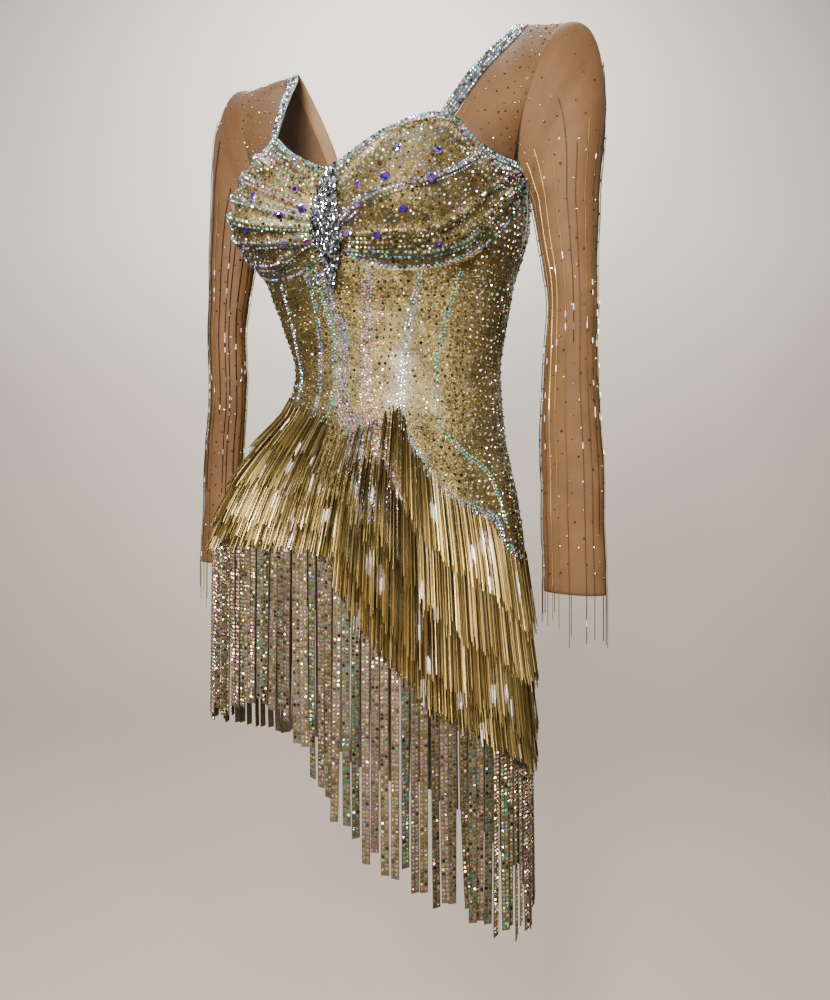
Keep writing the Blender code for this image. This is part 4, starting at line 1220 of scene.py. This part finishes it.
def hang_bead_tiers():
    t = np.linspace(0, 1, STRAND_STEPS)[:, None]
    for number in range(TIER_COUNT):
        first = number * ROWS_PER_TIER
        angle = even_angles(first, STRAND_PITCH)
        angle = angle + draw.normal(0, 0.06, len(angle))
        kept = np.ones(len(angle))
        if number == 0:
            # the first tier is sparse high on the far hip, and more so over the point of stoned cloth at the front
            kept = np.where(np.abs(wrapped(angle) + 62) < 32, 0.62, 1.0)
            kept = np.where(np.abs(wrapped(angle) - STONED_POINT) < 13, 0.40, kept)
        angle = angle[draw.uniform(size=len(angle)) < kept]
        round_it = wrapped(angle)
        top = skirt_height(round_it, first)
        drop = top - skirt_height(round_it, min(first + TIER_ROWS, SKIRT_ROWS)) + 0.004 * (number == TIER_COUNT - 1)
        # at the same point the tops of the second tier are ragged
        ragged = np.where((number == 1) & (np.abs(round_it - STONED_POINT) < 15), 0.0080, 0.0022)
        top = top + draw.normal(0, 1, len(angle)) * ragged
        height = top - drop * draw.uniform(0.96, 1.02, len(angle)) * t
        angles = falling(angle, height)
        flare = TIER_FLARE + draw.uniform(-0.0004, 0.0004, len(angle))
        away = STRETCH_CLOTH + LAYER_GAP + STRAND_LIFT + TIER_LIFT * t + flare * t * t
        points = figure_moved_out(wrapped(angles), height, away)
        # spots of painted highlight, at random points of the strands
        steps = draw.integers(6, STRAND_STEPS, PAINTED_HIGHLIGHT_PLACES)
        bright = points[steps, draw.integers(0, len(angle), PAINTED_HIGHLIGHT_PLACES)]

        def painted_highlight(middle):
            apart = ((middle[:, None] - bright[None]) * [1, 1, 0.35]) ** 2
            return PAINTED_HIGHLIGHT_MOST * np.exp(-apart.sum(axis=2).min(axis=1) / PAINTED_HIGHLIGHT_REACH ** 2)

        tier, strands = f"bead_fringe_tier_{number + 1}", points.transpose(1, 0, 2)
        piece = string_beads(tier + "_strands", strands, GOLD_MIX, TIER_PAINTED_SHADE, painted_highlight, BEAD_LENGTH, BEAD_WIDTH)
        ride(piece, "bugle_beads", tier)


SLEEVE_STRANDS, SLEEVE_STRAND_STEPS, SLEEVE_STRAND_LIFT = 22, 60, 0.0015


def sleeve_painted_highlight(middle):
    """Painted highlights: a few beads of the sleeves are tinted as if they caught the lamps, most of them by the elbow.
    """
    share = np.where(np.abs(middle[:, 2] + 0.35) < 0.1, 0.09, 0.015)
    return (draw.uniform(size=len(middle)) < share) * draw.uniform(0.3, 1.0, len(middle))


def hang_sleeve_strands():
    cap = CAP_ROWS / (CAP_ROWS + TUBE_ROWS)
    for side in ("left", "right"):
        grid = GRIDS[f"sleeve_{side}"]
        out = grid_out(grid, closed=True)
        strands = []
        for k in range(SLEEVE_STRANDS):
            across = np.full(SLEEVE_STRAND_STEPS, (k + draw.uniform(-0.25, 0.25)) / SLEEVE_STRANDS)
            start = cap * draw.uniform(0.36, 0.80)
            whole = draw.uniform() < 0.62
            down = np.linspace(start, 1.0 if whole else draw.uniform(0.55, 0.92), SLEEVE_STRAND_STEPS)
            points = at_grid(grid, across, down, closed=True)
            points = points + unit(at_grid(out, across, down, closed=True)) * SLEEVE_STRAND_LIFT
            if whole:
                below = points[-1] - np.outer(np.linspace(0.08, 1, 12), [0, 0, draw.uniform(0.022, 0.071)])
                points = np.concatenate([points, below])
            strands.append(points)
        fringe = f"sleeve_fringe_{side}"
        size = SLEEVE_BEAD_LENGTH, SLEEVE_BEAD_WIDTH
        ride(string_beads(fringe + "_strands", strands, SLEEVE_MIX, None, sleeve_painted_highlight, *size), "bugle_beads", fringe)


# ---------------------------------------------------------------- rhinestone strips
STRIP_PITCH, STRIP_WIDTH, STRIP_THICKNESS, STRIP_LIFT = 0.0092, 0.0078, 0.0011, 0.0009
STRIP_STONE, STRIP_STONE_PITCH, STRIP_STONE_ASIDE, STRIP_END = 0.0038, 0.0039, 0.00192, 0.0022
STRIP_MIXES = (
    (("champagne", 4), ("pink", 5), ("peach", 5), ("pale_gold", 2), ("painted_glint", 1)),
    (("green", 4), ("champagne", 5), ("pale_gold", 4), ("teal", 1), ("lilac", 1)),
    (("champagne", 6), ("silver", 2), ("pale_gold", 4), ("topaz", 1), ("painted_glint", 1)),
    (("champagne", 5), ("pale_gold", 5), ("peach", 3), ("pink", 2)),
)


def hang_strips():
    angles = even_angles(SKIRT_ROWS, STRIP_PITCH)
    angles = angles + draw.normal(0, 0.18, len(angles))
    count = len(angles)
    top = figure_moved_out(angles, skirt_height(angles, SKIRT_ROWS - 0.15), STRETCH_CLOTH + LAYER_GAP + STRIP_LIFT)
    out = unit(figure_out(angles, skirt_height(angles, SKIRT_ROWS)) * [1, 1, 0])
    side = np.cross([0, 0, 1.0], out)
    length = smooth_through(STRIP_LENGTHS, angles) * draw.uniform(0.91, 1.01, count)
    first_stone = draw.uniform(STRIP_END, STRIP_END + STRIP_STONE_PITCH, count)
    turned = draw.normal(0, 0.28, count) + np.where(draw.uniform(size=count) < 0.10, draw.normal(0, 0.5, count), 0)
    lean, swing = draw.normal(0, 0.0017, count), draw.uniform(-0.0006, 0.0030, count)

    def place(down, across, away):
        """A point on every strip, at a length down it, across it and away from its middle, and the way it faces."""
        t = down / length
        turn = turned * np.clip(0.25 + t * 1.4, 0, 1)
        wide = side * np.cos(turn)[:, None] + out * np.sin(turn)[:, None]
        face = out * np.cos(turn)[:, None] - side * np.sin(turn)[:, None]
        middle = top - np.outer(down, [0, 0, 1.0]) + side * (lean * t * t)[:, None] + out * (swing * t)[:, None]
        return middle + wide * across + face * away, face

    shape = bmesh.new()
    bmesh.ops.create_grid(shape, x_segments=1, y_segments=10, size=0.5)
    bmesh.ops.solidify(shape, geom=shape.faces[:], thickness=1.0)
    small = new_mesh("strip", shape)
    ends = [(v.co.x, 0.5 - v.co.y, 1 if v.co.z > -0.5 else -1) for v in small.vertices]
    placed = np.stack([place(length * y, x * STRIP_WIDTH, z * STRIP_THICKNESS / 2)[0] for x, y, z in ends], axis=1)
    strips = bmesh.new()
    for _ in range(count):
        strips.from_mesh(small)
    for vert, at in zip(strips.verts, placed.reshape(-1, 3)):
        vert.co = at
    bmesh.ops.recalc_face_normals(strips, faces=strips.faces)
    bpy.data.meshes.remove(small)
    ride(new_piece("rhinestone_strip_backing", strips, STRIP_BACK_WITH_PAINTED_SHADE), "rhinestone_strips", "strip_fringe")

    own_light = draw.uniform(0.26, 0.85, (count, 1)) * [1.0, 0.94, 0.80]
    kind = draw.integers(0, len(STRIP_MIXES), count)
    at, axes, tint = [], [], []
    for step in range(int(length.max() / STRIP_STONE_PITCH)):
        down = first_stone + step * STRIP_STONE_PITCH
        keep = down < length - STRIP_END
        for across in (-STRIP_STONE_ASIDE, STRIP_STONE_ASIDE):
            point, face = place(down, across, STRIP_THICKNESS / 2)
            colours = np.empty((count, 3))
            for number, recipe in enumerate(STRIP_MIXES):
                colours[kind == number] = mixed((kind == number).sum(), recipe, 0.10, 0.09)
            at.append(point[keep])
            axes.append(square_to(face[keep], STRIP_STONE, 0.16))
            tint.append(np.clip(colours * own_light, 0, 1)[keep])
    at, axes, tint = map(np.concatenate, (at, axes, tint))
    ride(copies("rhinestone_strip_stones", flatback(5), at, axes, RHINESTONE, tint), "rhinestone_strips")


# ---------------------------------------------------------------- brooch
BROOCH_BACK_LIFT, BROOCH_BACK_ROWS, BROOCH_BACK_COLUMNS = BROOCH_LIFT + 0.0012, 40, 9
CRYSTAL_MIX = (("steel", 5), ("silver", 5), ("slate", 3), ("lilac", 1), ("blue", 1))


def brooch_point(height, away):
    """The middle of the brooch at a height, this far out from the cloth."""
    aside = BROOCH_MIDDLE[0] + BROOCH_LEAN * (np.asarray(height) - BROOCH_MIDDLE[1])
    return figure_moved_out(np.zeros(np.shape(height)), height, away) + aside[..., None] * np.array([1, 0, 0])


def make_brooch():
    """A cluster of long and round crystals on a blackened back, on the centre front."""
    rows, columns = BROOCH_BACK_ROWS, BROOCH_BACK_COLUMNS
    heights = np.linspace(BROOCH_OUTLINE[-1][0], BROOCH_OUTLINE[0][0], rows)
    half = smooth_through(BROOCH_OUTLINE, heights) * 0.80
    across = np.linspace(-1, 1, columns)
    bow = np.broadcast_to(0.0012 * across ** 2, (rows, columns))
    grid = np.stack([half[:, None] * across, bow, np.zeros((rows, columns))], axis=-1)
    grid = brooch_point(heights, BROOCH_BACK_LIFT)[:, None, :] + grid
    ride(lay_cloth("brooch_back", grid, (BROOCH_BACK,), 0.0012), "brooch_crystal", "brooch")
    at, axes, tint = [], [], []
    for height in np.arange(-0.1765, -0.2755, -0.0027):
        width = smooth_through(BROOCH_OUTLINE, height)
        number = max(2, round(2 * width / 0.0030))
        for k in range(number):
            v = np.clip((k + draw.uniform(0.25, 0.75)) / number * 2 - 1, -0.96, 0.96)
            x, z = v * width, height + draw.normal(0, 0.0007)
            at.append(brooch_point(z, BROOCH_BACK_LIFT + 0.0030 * (1 - v * v)) + np.array([x, 0.0010 * v * v, 0]))
            out = unit(np.array([0.7 * v, -1, 0.10]) + draw.normal(0, 0.30, 3))
            fan = (0.5 * v if z > -0.230 else -0.35 * v) + draw.normal(0, 0.42)
            along = np.array([math.sin(fan), 0, math.cos(fan)])
            along = unit(along - out * (along @ out))
            long = draw.uniform(0.0048, 0.0074)
            thick = long * draw.uniform(0.34, 0.48)
            if draw.uniform() < 0.12:
                long = thick = draw.uniform(0.0030, 0.0044)
            axes.append(np.stack([np.cross(along, out) * thick, along * long, out * thick * 1.2]))
            tint.append(mixed(1, CRYSTAL_MIX, 0.08, 0.16)[0])
    at, axes, tint = map(np.array, (at, axes, tint))
    ride(copies("brooch_crystals", cut_crystal(8), at, axes, CRYSTAL, tint), "brooch_crystal")


# ---------------------------------------------------------------- stage, lights and camera
RIGHT, AHEAD, UP = np.array([0.8988, 0.4384, 0.0]), np.array([-0.4384, 0.8988, 0.0]), np.array([0.0, 0.0, 1.0])
EYE, MIDDLE = (0.4165, -0.8539, -0.425), np.array([0.0, -0.01, -0.43])
FLOOR, WALL, BEND, SWEEP_LENGTH, SWEEP_WIDTH = -1.25, 2.3, 0.9, 9, 10


def beside(right, up, ahead):
    """A place seen from the camera: to its right of the dress, above its middle, and beyond it."""
    return MIDDLE + RIGHT * right + UP * up + AHEAD * ahead


def seen_apart(tree, seen, otherwise, end):
    """Gives the camera one shader, and all other light another."""
    path = add_node(tree, "LightPath").outputs["Is Camera Ray"]
    choose = add_node(tree, "MixShader", {"Fac": path, 1: otherwise.outputs[0], 2: seen.outputs[0]})
    connect(tree, tree.nodes[end], {"Surface": choose.outputs[0]})


def make_stage():
    """A sweep of paper: a floor, a bend and a wall."""
    shape = bmesh.new()
    bmesh.ops.create_grid(shape, x_segments=2, y_segments=48, size=1)
    start = WALL - BEND
    for vert in shape.verts:
        run = vert.co.y * SWEEP_LENGTH / 2
        turn = min(max((run - start) / BEND, 0), math.pi / 2)
        ahead, up = min(run, start) + BEND * math.sin(turn), BEND * (1 - math.cos(turn))
        up += max(run - start - BEND * math.pi / 2, 0)
        vert.co = Vector(RIGHT * vert.co.x * SWEEP_WIDTH / 2 + AHEAD * ahead + UP * (FLOOR + up))
    for face in shape.faces:
        face.smooth = True
    paper, tree, shader = new_material("studio paper", dye(214, 208, 200), 0.85, 0.0)
    parts = add_node(tree, "SeparateXYZ", {0: add_node(tree, "TexCoord").outputs["Object"]})
    # The paper is painted darker towards the floor, a painted shade where less light falls.
    rise = add_range(tree, parts.outputs["Z"], FLOOR - 0.1, FLOOR + 1.6, 0, 1)
    connect(tree, shader, {"Base Color": add_ramp(tree, rise, (0.0, 158, 146, 133), (1.0, 220, 213, 204))})
    # The paper throws little light back onto the dress, so that the dress keeps its own lights and darks.
    dull = add_node(tree, "BsdfDiffuse", {"Color": (*dye(70, 66, 60), 1)})
    seen_apart(tree, shader, dull, "Material Output")
    new_piece("studio_sweep", shape, paper)


def aimed(name, data, at, way):
    """A lamp or a camera at a place, turned one way."""
    holder = link(name, data)
    holder.location = at
    holder.rotation_euler = Vector(way).to_track_quat("-Z", "Y").to_euler()
    return holder


def lamp(name, at, aim, size, watts, colour=(1.0, 0.97, 0.92)):
    light = bpy.data.lights.new(name, "AREA")
    light.shape, light.size, light.energy, light.color = "DISK", size, watts, colour
    aimed(name, light, at, aim - at)


def make_lights():
    for name, place, size, watts, *colour in (
        ("key", (-0.35, 0.75, -1.40), 0.35, 46),
        ("front", (-0.30, 0.05, -1.50), 0.30, 44, (1.0, 0.90, 0.83)),
        ("fill", (1.5, 0.15, -0.9), 1.2, 3, (0.95, 0.97, 1.0)),
        ("top", (0.0, 1.9, -0.2), 1.2, 10),
        ("back", (0.1, 1.8, 1.4), 0.8, 22),
        ("back left", (-1.3, 0.8, 1.3), 0.8, 4),
        ("back right", (1.3, 0.6, 1.3), 0.8, 3),
        ("sparkle 1", (-0.10, 0.30, -1.5), 0.06, 8),
        ("sparkle 2", (0.45, 0.75, -1.4), 0.06, 8),
        ("sparkle 3", (-1.2, 0.20, -0.9), 0.06, 8),
    ):
        lamp(name, beside(*place), MIDDLE, size, watts, *colour)
    lamp("backdrop", beside(0.0, 1.6, 0.9), beside(0.0, 0.0, 2.3), 1.6, 80, (1.0, 0.98, 0.95))
    world = bpy.data.worlds.new("studio")
    bpy.context.scene.world = world
    world.use_nodes = True
    tree = world.node_tree
    around = tree.nodes["Background"]
    connect(tree, around, {"Color": (0.80, 0.78, 0.75, 1), "Strength": 0.12})
    seen_apart(tree, add_node(tree, "Background", {"Color": (0.60, 0.58, 0.55, 1)}), around, "World Output")


def make_camera():
    lens = bpy.data.cameras.new("camera")
    lens.sensor_width, lens.lens = 36.0, 29.916
    lens.shift_x, lens.shift_y, lens.clip_start = 0.020, -0.068, 0.05
    bpy.context.scene.camera = aimed("camera", lens, EYE, AHEAD)


make_camera()
make_stage()
make_lights()
cloth = make_cloth()
set_body_stones()
set_cup_stones()
set_strap_stones()
set_net_stones()
hang_bead_tiers()
hang_sleeve_strands()
hang_strips()
make_brooch()
